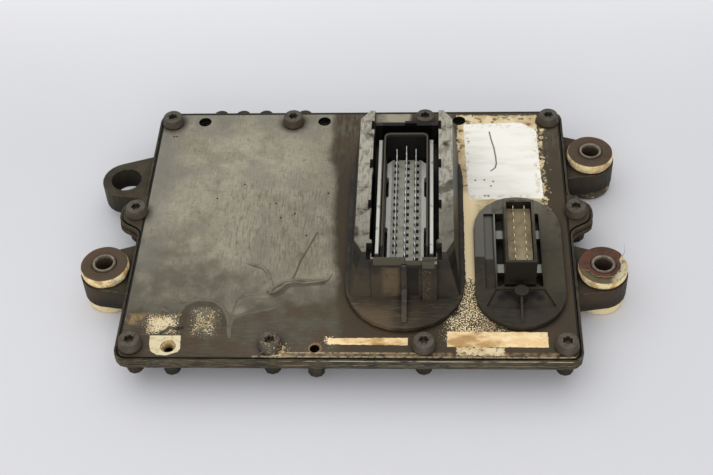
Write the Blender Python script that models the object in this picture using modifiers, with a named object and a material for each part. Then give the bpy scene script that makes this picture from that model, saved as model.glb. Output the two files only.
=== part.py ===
"""An engine control unit: a die-cast tub with four rubber-mounted lugs, a screwed cover plate, and two
upright connector headers whose blades run down to the circuit board inside.

Units are metres. +X is to the right, +Y to the rear and +Z up. The origin is on the tub's flat underside,
below the middle of the cover plate. Plan positions are measured from the middle of the cover plate.
"""

import math

import bmesh
import bpy
from mathutils import Vector
from mathutils.geometry import convex_hull_2d

# Air between two pieces that touch on the real unit
CLEARANCE = 0.0003

# Cover plate and the joint below it
COVER_WIDTH = 0.230
COVER_DEPTH = 0.181
COVER_THICKNESS = 0.0025
COVER_CORNER_RADIUS = 0.005
GASKET_THICKNESS = 0.0008
GASKET_INSET = 0.0008
HALF_WIDTH = COVER_WIDTH / 2.0
HALF_DEPTH = COVER_DEPTH / 2.0

# Base casting
BASE_LIP = 0.0018
FLANGE_THICKNESS = 0.0024
TUB_HEIGHT = 0.0177
TUB_FLOOR = 0.0028
TUB_INSET = 0.0165
TUB_WALL = 0.003
TUB_CORNER_RADIUS = 0.009
BOARD_LEDGE_WIDTH = 0.0055
BOARD_LEDGE_DROP = 0.0041
SHOULDER_WALL = 0.0025
BOSS_RADIUS = 0.0044
BOSS_FLOOR = 0.0041
SIDE_BOSS_RADIUS = 0.0062
REAR_STUB_RADIUS = 0.0044
REAR_STUB_DROP = 0.0004
# The four stubs, measured from the cover's left edge
REAR_STUB_OFFSETS = (0.0330, 0.0461, 0.0595, 0.0825)
FLOOR_RIB_WIDTH = 0.0022
FLOOR_RIB_HEIGHT = 0.0030
FLOOR_RIB_PITCH = 0.036

# Lobes at the two side screws
LOBE_CENTRE_Y = 0.0097
LOBE_OUTSET = 0.0118
LOBE_TOP_LENGTH = 0.011
LOBE_FOOT_LENGTH = 0.0255
LOBE_RADIUS = 0.0062

# Mounting lugs, rubber bushes and sleeves
LUG_OUTSET = 0.0156
LUG_RADIUS = 0.0134
LUG_THICKNESS = 0.0136
LUG_HOLE_RADIUS = 0.0086
LUG_ROOT_REAR = 0.0188
LUG_ROOT_FRONT = 0.0158
# How far each lug's centre lies behind or in front of the side lobes
REAR_LEFT_LUG_GAP = 0.0301
REAR_RIGHT_LUG_GAP = 0.0455
FRONT_LEFT_LUG_GAP = 0.0395
FRONT_RIGHT_LUG_GAP = 0.0399
BUSH_RADIUS = 0.0130
BUSH_FLANGE = 0.0060
BUSH_EDGE = 0.0007
SLEEVE_RADIUS = 0.0065
SLEEVE_BORE_RADIUS = 0.0048
SLEEVE_PROUD = 0.0005

# Cover screws
SCREW_EDGE_X = 0.0063
SCREW_EDGE_Y = 0.0075
SCREW_INNER_X = 0.0382
SCREW_SIDE_OUTSET = 0.0043
SCREW_HEAD_RADIUS = 0.0061
SCREW_HEAD_TOP_RADIUS = 0.0049
SCREW_HEAD_HEIGHT = 0.0050
SCREW_HEAD_EDGE = 0.0005
SCREW_SOCKET_RADIUS = 0.0026
SCREW_SOCKET_WAIST = 0.0019
SCREW_SOCKET_DEPTH = 0.0026
SCREW_SOCKET_LOBES = 6
SCREW_SHANK_RADIUS = 0.0030
SCREW_LENGTH = 0.0135

# Holes of the cover that hold no screw. Each stands beside a screw, at the right of it.
OPEN_HOLE_RADIUS = 0.00375
OPEN_HOLE_EDGE = 0.0067
OPEN_HOLE_OFFSETS = (0.0184, 0.0179, 0.0196)
FRONT_HOLE_OFFSET = 0.0192
SMALL_HOLE_RADIUS = 0.0025
SMALL_HOLE_EDGE = 0.0057
SMALL_HOLE_OFFSET = 0.0223
THREAD_RADIUS = 0.0025
THREAD_DEPTH = 0.009

# Small header, 16 blades in two columns of 8, set from the cover's front right corner
SMALL_EDGE_MARGIN = 0.0047
SMALL_FRONT_MARGIN = 0.0175
SMALL_FLANGE_HALF_WIDTH = 0.0230
SMALL_FLANGE_LENGTH = 0.0912
SMALL_HEIGHT = 0.0200
SMALL_SHROUD_HALF_WIDTH = 0.0079
SMALL_SHROUD_FRONT_INSET = 0.0282
SMALL_SHROUD_REAR_INSET = 0.0189
SMALL_SHROUD_WALL = 0.0014
SMALL_WELL_HALF_WIDTH = 0.0116
SMALL_WELL_FRONT_GAP = 0.0018
SMALL_WELL_REAR_GAP = 0.0063
SMALL_WELL_RIM = 0.0008
SMALL_WELL_RIM_HEIGHT = 0.0005
SMALL_WEB_THICKNESS = 0.0008
SMALL_WEB_HEIGHT = 0.0015
SMALL_BRIDGE_INSET = 0.0083
SMALL_BRIDGE_PITCH = 0.0240
SMALL_BRIDGE_LENGTH = 0.0060
SMALL_CHANNEL_WIDTH = 0.0052
SMALL_CHANNEL_DEPTH = 0.0020
SMALL_FAN_INSET = 0.0135
SMALL_FAN_LEDGE = 0.0003
SMALL_FAN_BOW = 0.0020
SMALL_FAN_HALF_WIDTH = 0.0176
SMALL_FAN_DEPTH = 0.0012
SMALL_KNOB_RADIUS = 0.0037
SMALL_KNOB_INSET = 0.0200
SMALL_KNOB_HEIGHT = 0.0052
SMALL_TAIL_RIB_WIDTH = 0.0012
SMALL_TAIL_RIB_INSET = 0.0033
SMALL_TAIL_RIB_PROUD = 0.0004
SMALL_TAIL_RIB_DROP = 0.0010
SMALL_CARRIER_DROP = 0.0050
SMALL_CARRIER_FOOT_HALF_WIDTH = 0.0046
SMALL_BLADE_PROUD = 0.0042
SMALL_COLUMN_PITCH = 0.0058
SMALL_FIRST_ROW_INSET = 0.0045

# Large header, 55 blades in columns of 18, 19 and 18, between the cover's front and rear margins
HEADER_GAP = 0.0052
LARGE_FRONT_MARGIN = 0.0163
LARGE_REAR_MARGIN = 0.0255
LARGE_FLANGE_HALF_WIDTH = 0.0308
LARGE_HEIGHT = 0.0300
LARGE_SIDE_INSET = 0.0022
LARGE_SIDE_LEAN = 0.0036
LARGE_REAR_INSET = 0.0010
LARGE_REAR_LEAN = 0.0015
RAIL_INNER = 0.0175
RAIL_CHAMFER_FRONT = 0.0079
RAIL_CHAMFER_REAR = 0.0105
RAIL_NOTCH_LENGTH = 0.0070
RAIL_NOTCH_WIDTH = 0.0014
RAIL_NOTCH_DEPTH = 0.0060
RAIL_NOTCH_INSET = 0.0135
RAIL_NOTCH_PITCH = 0.0305
RAIL_END_DROP = 0.0040
PANEL_HALF_WIDTH = 0.0166
PANEL_SIDE_WALL = 0.0004
PANEL_FOOT_INSET = 0.0204
PANEL_THICKNESS = 0.0032
PANEL_LEAN = 0.0019
PANEL_DIP_DEPTH = 0.0026
PANEL_DIP_WIDTH = 0.0085
BLOCK_FOOT_SETBACK = 0.0008
BLOCK_TOP_SETBACK = 0.0049
GUSSET_THICKNESS = 0.0026
GUSSET_REACH = 0.0167
GUSSET_TOE_HEIGHT = 0.0007
GUSSET_WAIST_OUTSET = 0.0022
GUSSET_WAIST_HEIGHT = 0.0085
GUSSET_TOP_OUTSET = 0.0011
GUSSET_TOP_DROP = 0.0034
PANEL_PAD_WIDTH = 0.0074
PANEL_PAD_PROUD = 0.0023
PANEL_PAD_LEAN = 0.0018
PANEL_PAD_DROP = 0.0012
REAR_WALL_THICKNESS = 0.0020
REAR_WALL_DROP = 0.0125
REAR_TAB_OFFSET = 0.0021
REAR_TAB_WIDTH = 0.0065
REAR_TAB_HEIGHT = 0.0016
REAR_POCKET_LENGTH = 0.0159
SHROUD_HALF_WIDTH = 0.0119
SHROUD_WALL = 0.0009
SHROUD_DROP = 0.0035
SHROUD_CORNER_RADIUS = 0.0030
GUIDE_GAP = 0.0005
GUIDE_THICKNESS = 0.0023
GUIDE_DROP = 0.0038
GUIDE_REAR_INSET = 0.0056
LARGE_CARRIER_TOP = 0.0070
LARGE_CARRIER_NARROWING = 0.0011
LARGE_CARRIER_STEM_HALF_WIDTH = 0.0088
# Where the carrier turns narrow and wide again, measured from its rear end
LARGE_CARRIER_STEPS = (0.0134, 0.0284, 0.0514)
LARGE_CARRIER_STEP_LENGTH = 0.0010
LARGE_BLADE_PROUD = 0.0120
LARGE_COLUMN_PITCH = 0.0052
LARGE_FIRST_ROW_INSET = 0.0047

# Both headers
HEADER_FLANGE_THICKNESS = 0.0030
HEADER_FLOOR = 0.0028
HEADER_NECK_INSET = 0.0045
HEADER_CORE_WALL = 0.0016
HEADER_SEAL_WIDTH = 0.0014
BLADE_PITCH = 0.0050
BLADE_END_MARGIN = 0.0013
BLADE_WIDTH = 0.0024
BLADE_THICKNESS = 0.0008
BLADE_TIP_CHAMFER = 0.00025
TAIL_SIZE = 0.0008
TAIL_PROUD = 0.0012

# Circuit board and what it carries
BOARD_THICKNESS = 0.0016
BOARD_EDGE_GAP = 0.0012
BOARD_SCREW_RADIUS = 0.00125
BOARD_SCREW_HEAD_RADIUS = 0.0024
BOARD_SCREW_HEAD_TOP_RADIUS = 0.0017
BOARD_SCREW_HEAD_HEIGHT = 0.0018
BOARD_SCREW_LENGTH = 0.0036
BOARD_SCREW_INSET = 0.0020
BOARD_SCREW_END_INSET = 0.0133
BOARD_SCREW_BEHIND_CORE = 0.0128
CHIP_THICKNESS = 0.0022
CHIP_OFFSET = 0.0583
PROCESSOR_SIZE = 0.0240
PROCESSOR_Y = 0.0050
MEMORY_WIDTH = 0.0100
MEMORY_LENGTH = 0.0180
MEMORY_GAP = 0.0140
CHIP_BEVEL = 0.0004
CAPACITOR_RADIUS = 0.0050
CAPACITOR_HEIGHT = 0.0105
CAPACITOR_EDGE = 0.0005
CAPACITOR_PITCH = 0.0150
CAPACITOR_COUNT = 3
CAPACITOR_DRIVER_GAP = 0.0250
CAPACITOR_REAR_INSET = 0.0233
COIL_SIZE = 0.0120
COIL_HEIGHT = 0.0080
COIL_BEVEL = 0.0010
COIL_PITCH = 0.0180
COIL_COUNT = 2
COIL_SIDE_INSET = 0.0198
COIL_REAR_INSET = 0.0253
DRIVER_WIDTH = 0.0092
DRIVER_LENGTH = 0.0100
DRIVER_THICKNESS = 0.0023
DRIVER_PITCH = 0.0180
DRIVER_COUNT = 6
DRIVER_SIDE_INSET = 0.0148
HEAT_PAD_THICKNESS = 0.0016
HEAT_PAD_MARGIN = 0.0020

# Heights that follow from the sizes above
FLANGE_TOP = TUB_HEIGHT + FLANGE_THICKNESS
GASKET_BOTTOM = FLANGE_TOP + CLEARANCE
COVER_BOTTOM = GASKET_BOTTOM + GASKET_THICKNESS + CLEARANCE
COVER_TOP = COVER_BOTTOM + COVER_THICKNESS
BOARD_LEDGE_HEIGHT = FLANGE_TOP - BOARD_LEDGE_DROP
BOARD_BOTTOM = BOARD_LEDGE_HEIGHT + CLEARANCE
BOARD_TOP = BOARD_BOTTOM + BOARD_THICKNESS
HEADER_BOTTOM = COVER_TOP + CLEARANCE
HEADER_FLANGE_TOP = HEADER_BOTTOM + HEADER_FLANGE_THICKNESS - CLEARANCE
NECK_BOTTOM = BOARD_TOP + CLEARANCE
PIT_FLOOR = NECK_BOTTOM + HEADER_FLOOR
TAIL_BOTTOM = BOARD_BOTTOM - TAIL_PROUD
LUG_BOTTOM = FLANGE_TOP - LUG_THICKNESS
SCREW_SEAT = COVER_TOP + CLEARANCE
SCREW_BORE_FLOOR = SCREW_SEAT - SCREW_LENGTH - CLEARANCE
BOSS_BOTTOM = SCREW_BORE_FLOOR - BOSS_FLOOR
LARGE_TOP = COVER_TOP + LARGE_HEIGHT
SMALL_TOP = COVER_TOP + SMALL_HEIGHT

# Plan positions that follow from the sizes above
SMALL_X = HALF_WIDTH - SMALL_EDGE_MARGIN - SMALL_FLANGE_HALF_WIDTH
SMALL_FLANGE_FRONT = SMALL_FRONT_MARGIN - HALF_DEPTH
SMALL_FLANGE_REAR = SMALL_FLANGE_FRONT + SMALL_FLANGE_LENGTH
SMALL_SHROUD_FRONT = SMALL_FLANGE_FRONT + SMALL_SHROUD_FRONT_INSET
SMALL_SHROUD_REAR = SMALL_FLANGE_REAR - SMALL_SHROUD_REAR_INSET
SMALL_WELL_FRONT = SMALL_SHROUD_FRONT - SMALL_WELL_FRONT_GAP
SMALL_WELL_REAR = SMALL_SHROUD_REAR + SMALL_WELL_REAR_GAP
LARGE_X = SMALL_X - SMALL_FLANGE_HALF_WIDTH - HEADER_GAP - LARGE_FLANGE_HALF_WIDTH
LARGE_FLANGE_FRONT = LARGE_FRONT_MARGIN - HALF_DEPTH
LARGE_FLANGE_REAR = HALF_DEPTH - LARGE_REAR_MARGIN
LARGE_HALF_FOOT = LARGE_FLANGE_HALF_WIDTH - LARGE_SIDE_INSET
LARGE_HALF_TOP = LARGE_HALF_FOOT - LARGE_SIDE_LEAN
LARGE_FOOT_REAR = LARGE_FLANGE_REAR - LARGE_REAR_INSET
LARGE_TOP_REAR = LARGE_FOOT_REAR - LARGE_REAR_LEAN
PANEL_FOOT_Y = LARGE_FLANGE_FRONT + PANEL_FOOT_INSET
PANEL_TOP_Y = PANEL_FOOT_Y + PANEL_LEAN
PANEL_INNER_Y = PANEL_FOOT_Y + PANEL_THICKNESS
LARGE_FOOT_FRONT = PANEL_FOOT_Y + BLOCK_FOOT_SETBACK
LARGE_TOP_FRONT = PANEL_TOP_Y + BLOCK_TOP_SETBACK
REAR_WALL_Y = LARGE_TOP_REAR - REAR_WALL_THICKNESS
SHROUD_REAR = REAR_WALL_Y - REAR_POCKET_LENGTH
LARGE_CARRIER_FRONT = PANEL_INNER_Y + CLEARANCE
LARGE_CARRIER_REAR = SHROUD_REAR - SHROUD_WALL - CLEARANCE
SMALL_CARRIER_FRONT = SMALL_SHROUD_FRONT + SMALL_SHROUD_WALL + CLEARANCE
SMALL_CARRIER_REAR = SMALL_SHROUD_REAR - SMALL_SHROUD_WALL - CLEARANCE
BOARD_HALF_WIDTH = HALF_WIDTH - TUB_INSET - TUB_WALL + BOARD_LEDGE_WIDTH - BOARD_EDGE_GAP
BOARD_HALF_DEPTH = HALF_DEPTH - TUB_INSET - TUB_WALL + BOARD_LEDGE_WIDTH - BOARD_EDGE_GAP
DRIVER_X = DRIVER_SIDE_INSET - BOARD_HALF_WIDTH
CHIP_X = LARGE_X - CHIP_OFFSET

# How finely round things are faceted
ARC_STEP = math.radians(15)
TIGHT_ARC_STEP = math.radians(30)
TIGHT_ARC_RADIUS = 0.012
LARGE_ROUND = 24
HEAD_ROUND = 16
SMALL_ROUND = 12
BOSS_ROUND = 10
HIDDEN_ROUND = 8
# How far a joined or cut body runs past the face it meets, and how far two faces keep out of one plane
OVERLAP = 0.0010
NUDGE = 0.0001
MERGE_DISTANCE = 0.00001
# Part of a step by which a count may fall short and still be whole
ROUNDING = 0.01

# The lug whose bush is lost
EMPTY_LUG = "rear_left"
PARTS = "engine_control_unit"
HELPERS = "helpers"


def clear_scene():
    """Removes what the startup scene holds, and makes the two collections."""
    for obj in list(bpy.data.objects):
        bpy.data.objects.remove(obj)
    for name in (PARTS, HELPERS):
        bpy.context.scene.collection.children.link(bpy.data.collections.new(name))


def material(name, colour, roughness, metallic=0.0):
    """A Principled material of one colour."""
    made = bpy.data.materials.new(name)
    made.use_nodes = True
    shader = made.node_tree.nodes["Principled BSDF"]
    shader.inputs["Base Color"].default_value = (*colour, 1.0)
    shader.inputs["Roughness"].default_value = roughness
    shader.inputs["Metallic"].default_value = metallic
    return made


def make_materials():
    """Every material of the unit, by the name used below."""
    return {
        "casting": material("dirty_casting", (0.055, 0.048, 0.040), 0.75, 0.2),
        "cover": material("dusty_cover", (0.240, 0.220, 0.180), 0.62, 0.2),
        "gasket": material("black_gasket", (0.012, 0.011, 0.010), 0.85),
        "screw": material("blackened_screw", (0.060, 0.052, 0.044), 0.60, 0.5),
        "plastic": material("black_plastic", (0.030, 0.028, 0.026), 0.55),
        "carrier": material("grey_carrier", (0.380, 0.380, 0.360), 0.55),
        "insert": material("tan_insert", (0.300, 0.240, 0.150), 0.50),
        "rubber": material("cream_rubber", (0.750, 0.620, 0.380), 0.80),
        "steel": material("dull_steel", (0.300, 0.290, 0.270), 0.45, 0.9),
        "board": material("green_board", (0.020, 0.120, 0.050), 0.50),
        "chip": material("chip_resin", (0.020, 0.020, 0.022), 0.50),
        "can": material("can_aluminium", (0.500, 0.500, 0.500), 0.35, 0.9),
        "ferrite": material("coil_ferrite", (0.060, 0.060, 0.065), 0.65),
        "pad": material("grey_pad", (0.350, 0.360, 0.380), 0.80),
    }


def arc(centre, radius, start, end, steps=None):
    """Points on an arc, both ends included."""
    step = ARC_STEP if radius > TIGHT_ARC_RADIUS else TIGHT_ARC_STEP
    count = steps or max(2, math.ceil(abs(end - start) / step - ROUNDING))
    angles = [start + (end - start) * index / count for index in range(count + 1)]
    return [(centre[0] + radius * math.cos(a), centre[1] + radius * math.sin(a)) for a in angles]


def circle(centre, radius, count=SMALL_ROUND):
    """Points round a full circle."""
    return arc(centre, radius, 0.0, 2.0 * math.pi, count)[:-1]


def clear_of(radius, count=HIDDEN_ROUND):
    """The radius of a faceted hole whose flats stay clear of a shaft of this radius."""
    return (radius + CLEARANCE) / math.cos(math.pi / count)


def places_along(first, pitch, front_limit):
    """Y positions a pitch apart, from the rearmost one forward to a limit."""
    count = int((first - front_limit) / pitch + ROUNDING) + 1
    return [first - index * pitch for index in range(count)]


def rectangle(left, front, right, rear):
    """The four corners of an upright rectangle."""
    return [(left, front), (right, front), (right, rear), (left, rear)]


def rounded(corners):
    """Turns corners given as (x, y, radius) into an outline whose corners are arcs."""
    outline = []
    for index, (x, y, radius) in enumerate(corners):
        corner = Vector((x, y))
        if radius <= 0.0:
            outline.append((x, y))
            continue
        before = (Vector(corners[index - 1][:2]) - corner).normalized()
        after = (Vector(corners[(index + 1) % len(corners)][:2]) - corner).normalized()
        half = before.angle(after) / 2.0
        centre = corner + (before + after).normalized() * (radius / math.sin(half))
        first = corner + before * (radius / math.tan(half)) - centre
        last = corner + after * (radius / math.tan(half)) - centre
        start = math.atan2(first.y, first.x)
        turn = math.remainder(math.atan2(last.y, last.x) - start, 2.0 * math.pi)
        outline += arc(centre, radius, start, start + turn)
    return outline


def rounded_rectangle(left, front, right, rear, radius):
    """An upright rectangle with arcs at its corners."""
    return rounded([(x, y, radius) for x, y in rectangle(left, front, right, rear)])


def stadium(centre_x, half_width, front, rear, inset=0.0):
    """An outline with straight sides and two half-round ends."""
    radius = half_width - inset
    rear_arc = arc((centre_x, rear - half_width), radius, 0.0, math.pi)
    front_arc = arc((centre_x, front + half_width), radius, math.pi, 2.0 * math.pi)
    return rear_arc + front_arc


def link(obj, collection):
    """Puts an object in one collection only."""
    for other in obj.users_collection:
        other.objects.unlink(obj)
    bpy.data.collections[collection].objects.link(obj)
    if collection == HELPERS:
        obj.hide_render = True
        obj.display_type = "WIRE"
    return obj


def mesh_object(name, bm, collection=HELPERS):
    """An object made from a bmesh, which is freed."""
    bmesh.ops.recalc_face_normals(bm, faces=bm.faces)
    mesh = bpy.data.meshes.new(name)
    bm.to_mesh(mesh)
    bm.free()
    obj = bpy.data.objects.new(name, mesh)
    bpy.context.scene.collection.objects.link(obj)
    return link(obj, collection)


def plate(name, loops, bottom, top, collection=HELPERS):
    """A flat solid from an outline and any holes, made as a filled 2D curve and then turned into a mesh."""
    curve = bpy.data.curves.new(name, "CURVE")
    curve.dimensions = "2D"
    curve.fill_mode = "BOTH"
    curve.extrude = (top - bottom) / 2.0
    for loop in loops:
        spline = curve.splines.new("POLY")
        spline.points.add(len(loop) - 1)
        for point, (x, y) in zip(spline.points, loop):
            point.co = (x, y, 0.0, 1.0)
        spline.use_cyclic_u = True
    flat = bpy.data.objects.new(name, curve)
    flat.location.z = (top + bottom) / 2.0
    bpy.context.scene.collection.objects.link(flat)
    bpy.context.view_layer.update()
    evaluated = flat.evaluated_get(bpy.context.evaluated_depsgraph_get())
    bm = bmesh.new()
    bm.from_mesh(bpy.data.meshes.new_from_object(evaluated))
    bmesh.ops.transform(bm, matrix=flat.matrix_world, verts=bm.verts)
    bmesh.ops.remove_doubles(bm, verts=bm.verts, dist=MERGE_DISTANCE)
    bpy.data.objects.remove(flat)
    return mesh_object(name, bm, collection)


def box(name, low, high, collection=HELPERS):
    """An upright box between two opposite corners."""
    bm = bmesh.new()
    bmesh.ops.create_cube(bm, size=1.0)
    size = Vector(high) - Vector(low)
    bmesh.ops.scale(bm, vec=size, verts=bm.verts)
    bmesh.ops.translate(bm, vec=Vector(low) + size / 2.0, verts=bm.verts)
    return mesh_object(name, bm, collection)


def post(name, centre, radius, bottom, top, count=SMALL_ROUND, tip_radius=None):
    """An upright cylinder, or a cone where tip_radius is given for its lower end."""
    bm = bmesh.new()
    bmesh.ops.create_cone(
        bm,
        cap_ends=True,
        segments=count,
        radius1=radius if tip_radius is None else tip_radius,
        radius2=radius,
        depth=top - bottom,
    )
    bmesh.ops.translate(bm, vec=(*centre, (top + bottom) / 2.0), verts=bm.verts)
    return mesh_object(name, bm)


def side_profile(name, outline, centre_x, thickness):
    """A rib cut out in the YZ plane: outline holds (y, z), and the rib is centred on centre_x."""
    rib = plate(name, [outline], -thickness / 2.0, thickness / 2.0)
    for vertex in rib.data.vertices:
        y, z, x = vertex.co
        vertex.co = (centre_x + x, y, z)
    return rib


def hull(name, low_outline, low_z, high_outline, high_z):
    """The drafted body between a lower and an upper convex outline."""
    bm = bmesh.new()
    for outline, height in ((low_outline, low_z), (high_outline, high_z)):
        for x, y in outline:
            bm.verts.new((x, y, height))
    made = bmesh.ops.convex_hull(bm, input=bm.verts)
    bmesh.ops.delete(bm, geom=made["geom_interior"], context="VERTS")
    return mesh_object(name, bm)


def turned(name, profile, centre, count, collection=PARTS):
    """A turned solid. Its profile of (radius, z) runs down the outer side, and is closed round a bore."""
    bm = bmesh.new()
    points = [bm.verts.new((radius, 0.0, z)) for radius, z in profile]
    for first, second in zip(points, points[1:]):
        bm.edges.new((first, second))
    if profile[0][0] > 0.0:
        bm.edges.new((points[-1], points[0]))
    mesh = bpy.data.meshes.new(name)
    bm.to_mesh(mesh)
    bm.free()
    obj = bpy.data.objects.new(name, mesh)
    bpy.context.scene.collection.objects.link(obj)
    obj.location = (*centre, 0.0)
    screw = obj.modifiers.new("turn", "SCREW")
    screw.steps = screw.render_steps = count
    screw.use_merge_vertices = True
    screw.merge_threshold = MERGE_DISTANCE
    return link(obj, collection)


def joined(name, objects):
    """One helper mesh from several that don't touch each other."""
    bm = bmesh.new()
    for obj in objects:
        bm.from_mesh(obj.data)
        bpy.data.objects.remove(obj)
    return mesh_object(name, bm)


def combine(obj, helper, operation):
    """Adds a Boolean of one helper to an object."""
    modifier = obj.modifiers.new(helper.name, "BOOLEAN")
    modifier.operation = operation
    modifier.object = helper


def finish(obj, chosen):
    """Gives a part its material and smooth round faces, and puts it among the parts."""
    obj.data.materials.clear()
    obj.data.materials.append(chosen)
    if obj.name not in bpy.data.collections[PARTS].objects:
        link(obj, PARTS)
        obj.hide_render = False
        obj.display_type = "TEXTURED"
    return obj


def rim_outline(margin):
    """The outline shared by cover, gasket and flange, moved out by a margin."""
    half_x = HALF_WIDTH + margin
    half_y = HALF_DEPTH + margin
    corner = COVER_CORNER_RADIUS + margin
    foot = LOBE_FOOT_LENGTH / 2.0 + margin
    top = LOBE_TOP_LENGTH / 2.0 + margin
    tip = half_x + LOBE_OUTSET
    blend = LOBE_RADIUS
    right = [
        (half_x, -half_y, corner),
        (half_x, LOBE_CENTRE_Y - foot, blend),
        (tip, LOBE_CENTRE_Y - top, blend),
        (tip, LOBE_CENTRE_Y + top, blend),
        (half_x, LOBE_CENTRE_Y + foot, blend),
        (half_x, half_y, corner),
    ]
    left = [(-x, y, radius) for x, y, radius in reversed(right)]
    return rounded(right + left)


def screw_places():
    """Where the ten cover screws stand."""
    outer_x = HALF_WIDTH - SCREW_EDGE_X
    row_y = HALF_DEPTH - SCREW_EDGE_Y
    rows = [(x, y) for y in (-row_y, row_y) for x in (-outer_x, -SCREW_INNER_X, SCREW_INNER_X, outer_x)]
    side_x = HALF_WIDTH + SCREW_SIDE_OUTSET
    return rows + [(-side_x, LOBE_CENTRE_Y), (side_x, LOBE_CENTRE_Y)]


def open_hole_places():
    """The four wide holes that hold no screw: three along the rear edge and one at the front left."""
    corner_x = SCREW_EDGE_X - HALF_WIDTH
    row_y = HALF_DEPTH - OPEN_HOLE_EDGE
    beside = zip((corner_x, -SCREW_INNER_X, SCREW_INNER_X), OPEN_HOLE_OFFSETS)
    return [(x + offset, row_y) for x, offset in beside] + [(corner_x + FRONT_HOLE_OFFSET, -row_y)]


def small_hole_place():
    """The narrow hole in the front edge."""
    return SMALL_HOLE_OFFSET - SCREW_INNER_X, SMALL_HOLE_EDGE - HALF_DEPTH


def lug_places():
    """The centre of each lug by name."""
    centre_x = HALF_WIDTH + LUG_OUTSET
    return {
        "rear_left": (-centre_x, LOBE_CENTRE_Y + REAR_LEFT_LUG_GAP),
        "front_left": (-centre_x, LOBE_CENTRE_Y - FRONT_LEFT_LUG_GAP),
        "front_right": (centre_x, LOBE_CENTRE_Y - FRONT_RIGHT_LUG_GAP),
        "rear_right": (centre_x, LOBE_CENTRE_Y + REAR_RIGHT_LUG_GAP),
    }


def lug_outline(centre):
    """A disc drawn out to a wide root under the flange."""
    side = math.copysign(1.0, centre[0])
    root_x = side * (HALF_WIDTH + BASE_LIP)
    inner_x = root_x - side * (TUB_INSET + BASE_LIP + OVERLAP)
    rear = centre[1] + LUG_ROOT_REAR
    front = centre[1] - LUG_ROOT_FRONT
    disc = circle(centre, LUG_RADIUS, LARGE_ROUND)
    points = disc + [(root_x, front), (root_x, rear), (inner_x, front), (inner_x, rear)]
    return [points[index] for index in convex_hull_2d([Vector(point) for point in points])]


def make_base(materials):
    """The die-cast tub with its flange, lugs, screw bosses and board ledge."""
    base = plate("base_casting", [rim_outline(BASE_LIP)], TUB_HEIGHT, FLANGE_TOP)
    tub_x = HALF_WIDTH - TUB_INSET
    tub_y = HALF_DEPTH - TUB_INSET
    tub = rounded_rectangle(-tub_x, -tub_y, tub_x, tub_y, TUB_CORNER_RADIUS)
    combine(base, plate("tub_body", [tub], 0.0, TUB_HEIGHT + OVERLAP), "UNION")
    spread = BOARD_LEDGE_WIDTH - TUB_WALL + SHOULDER_WALL
    collar_x = tub_x + spread
    collar_y = tub_y + spread
    collar = rounded_rectangle(-collar_x, -collar_y, collar_x, collar_y, TUB_CORNER_RADIUS)
    collar_bottom = BOARD_LEDGE_HEIGHT - SHOULDER_WALL
    combine(base, plate("tub_collar", [collar], collar_bottom, TUB_HEIGHT + OVERLAP), "UNION")

    lugs = [
        plate(name + "_lug", [lug_outline(centre)], LUG_BOTTOM, FLANGE_TOP)
        for name, centre in lug_places().items()
    ]
    combine(base, joined("lugs", lugs), "UNION")
    combine(base, joined("bosses", base_bosses()), "UNION")

    low_x = tub_x - TUB_WALL
    low_y = tub_y - TUB_WALL
    low_radius = TUB_CORNER_RADIUS - TUB_WALL
    low = rounded_rectangle(-low_x, -low_y, low_x, low_y, low_radius)
    combine(base, plate("tub_cavity", [low], TUB_FLOOR, FLANGE_TOP + OVERLAP), "DIFFERENCE")
    high_x = low_x + BOARD_LEDGE_WIDTH
    high_y = low_y + BOARD_LEDGE_WIDTH
    high = rounded_rectangle(-high_x, -high_y, high_x, high_y, low_radius)
    recess = plate("board_recess", [high], BOARD_LEDGE_HEIGHT, FLANGE_TOP + 2.0 * OVERLAP)
    combine(base, recess, "DIFFERENCE")
    combine(base, joined("bores", base_bores()), "DIFFERENCE")

    left, right, half_y = heat_pad_limits()
    pedestal_top = heat_pad_bottom() - CLEARANCE
    pedestal = box("pedestal", (left, -half_y, TUB_FLOOR - OVERLAP), (right, half_y, pedestal_top))
    ribs = []
    for step in (-1, 0, 1):
        front = step * FLOOR_RIB_PITCH - FLOOR_RIB_WIDTH / 2.0
        low = (right + 2.0 * OVERLAP, front, TUB_FLOOR - OVERLAP)
        high = (low_x + OVERLAP, front + FLOOR_RIB_WIDTH, TUB_FLOOR + FLOOR_RIB_HEIGHT)
        ribs.append(box("floor_rib", low, high))
    combine(base, joined("floor_details", [pedestal, *ribs]), "UNION")
    return finish(base, materials["casting"])


def base_bosses():
    """The bosses that hang below the flange, and the four stubs behind it."""
    top = TUB_HEIGHT + OVERLAP
    *row_screws, left_screw, right_screw = screw_places()
    bosses = [
        post("boss", place, BOSS_RADIUS, BOSS_BOTTOM, top, BOSS_ROUND)
        for place in [*row_screws, *open_hole_places(), small_hole_place()]
    ]
    bosses += [
        post("side_boss", place, SIDE_BOSS_RADIUS, BOSS_BOTTOM, top) for place in (left_screw, right_screw)
    ]
    rear_y = HALF_DEPTH + BASE_LIP
    stub_top = FLANGE_TOP - REAR_STUB_DROP
    for offset in REAR_STUB_OFFSETS:
        bosses.append(post("stub", (offset - HALF_WIDTH, rear_y), REAR_STUB_RADIUS, BOSS_BOTTOM, stub_top))
    return bosses


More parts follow.
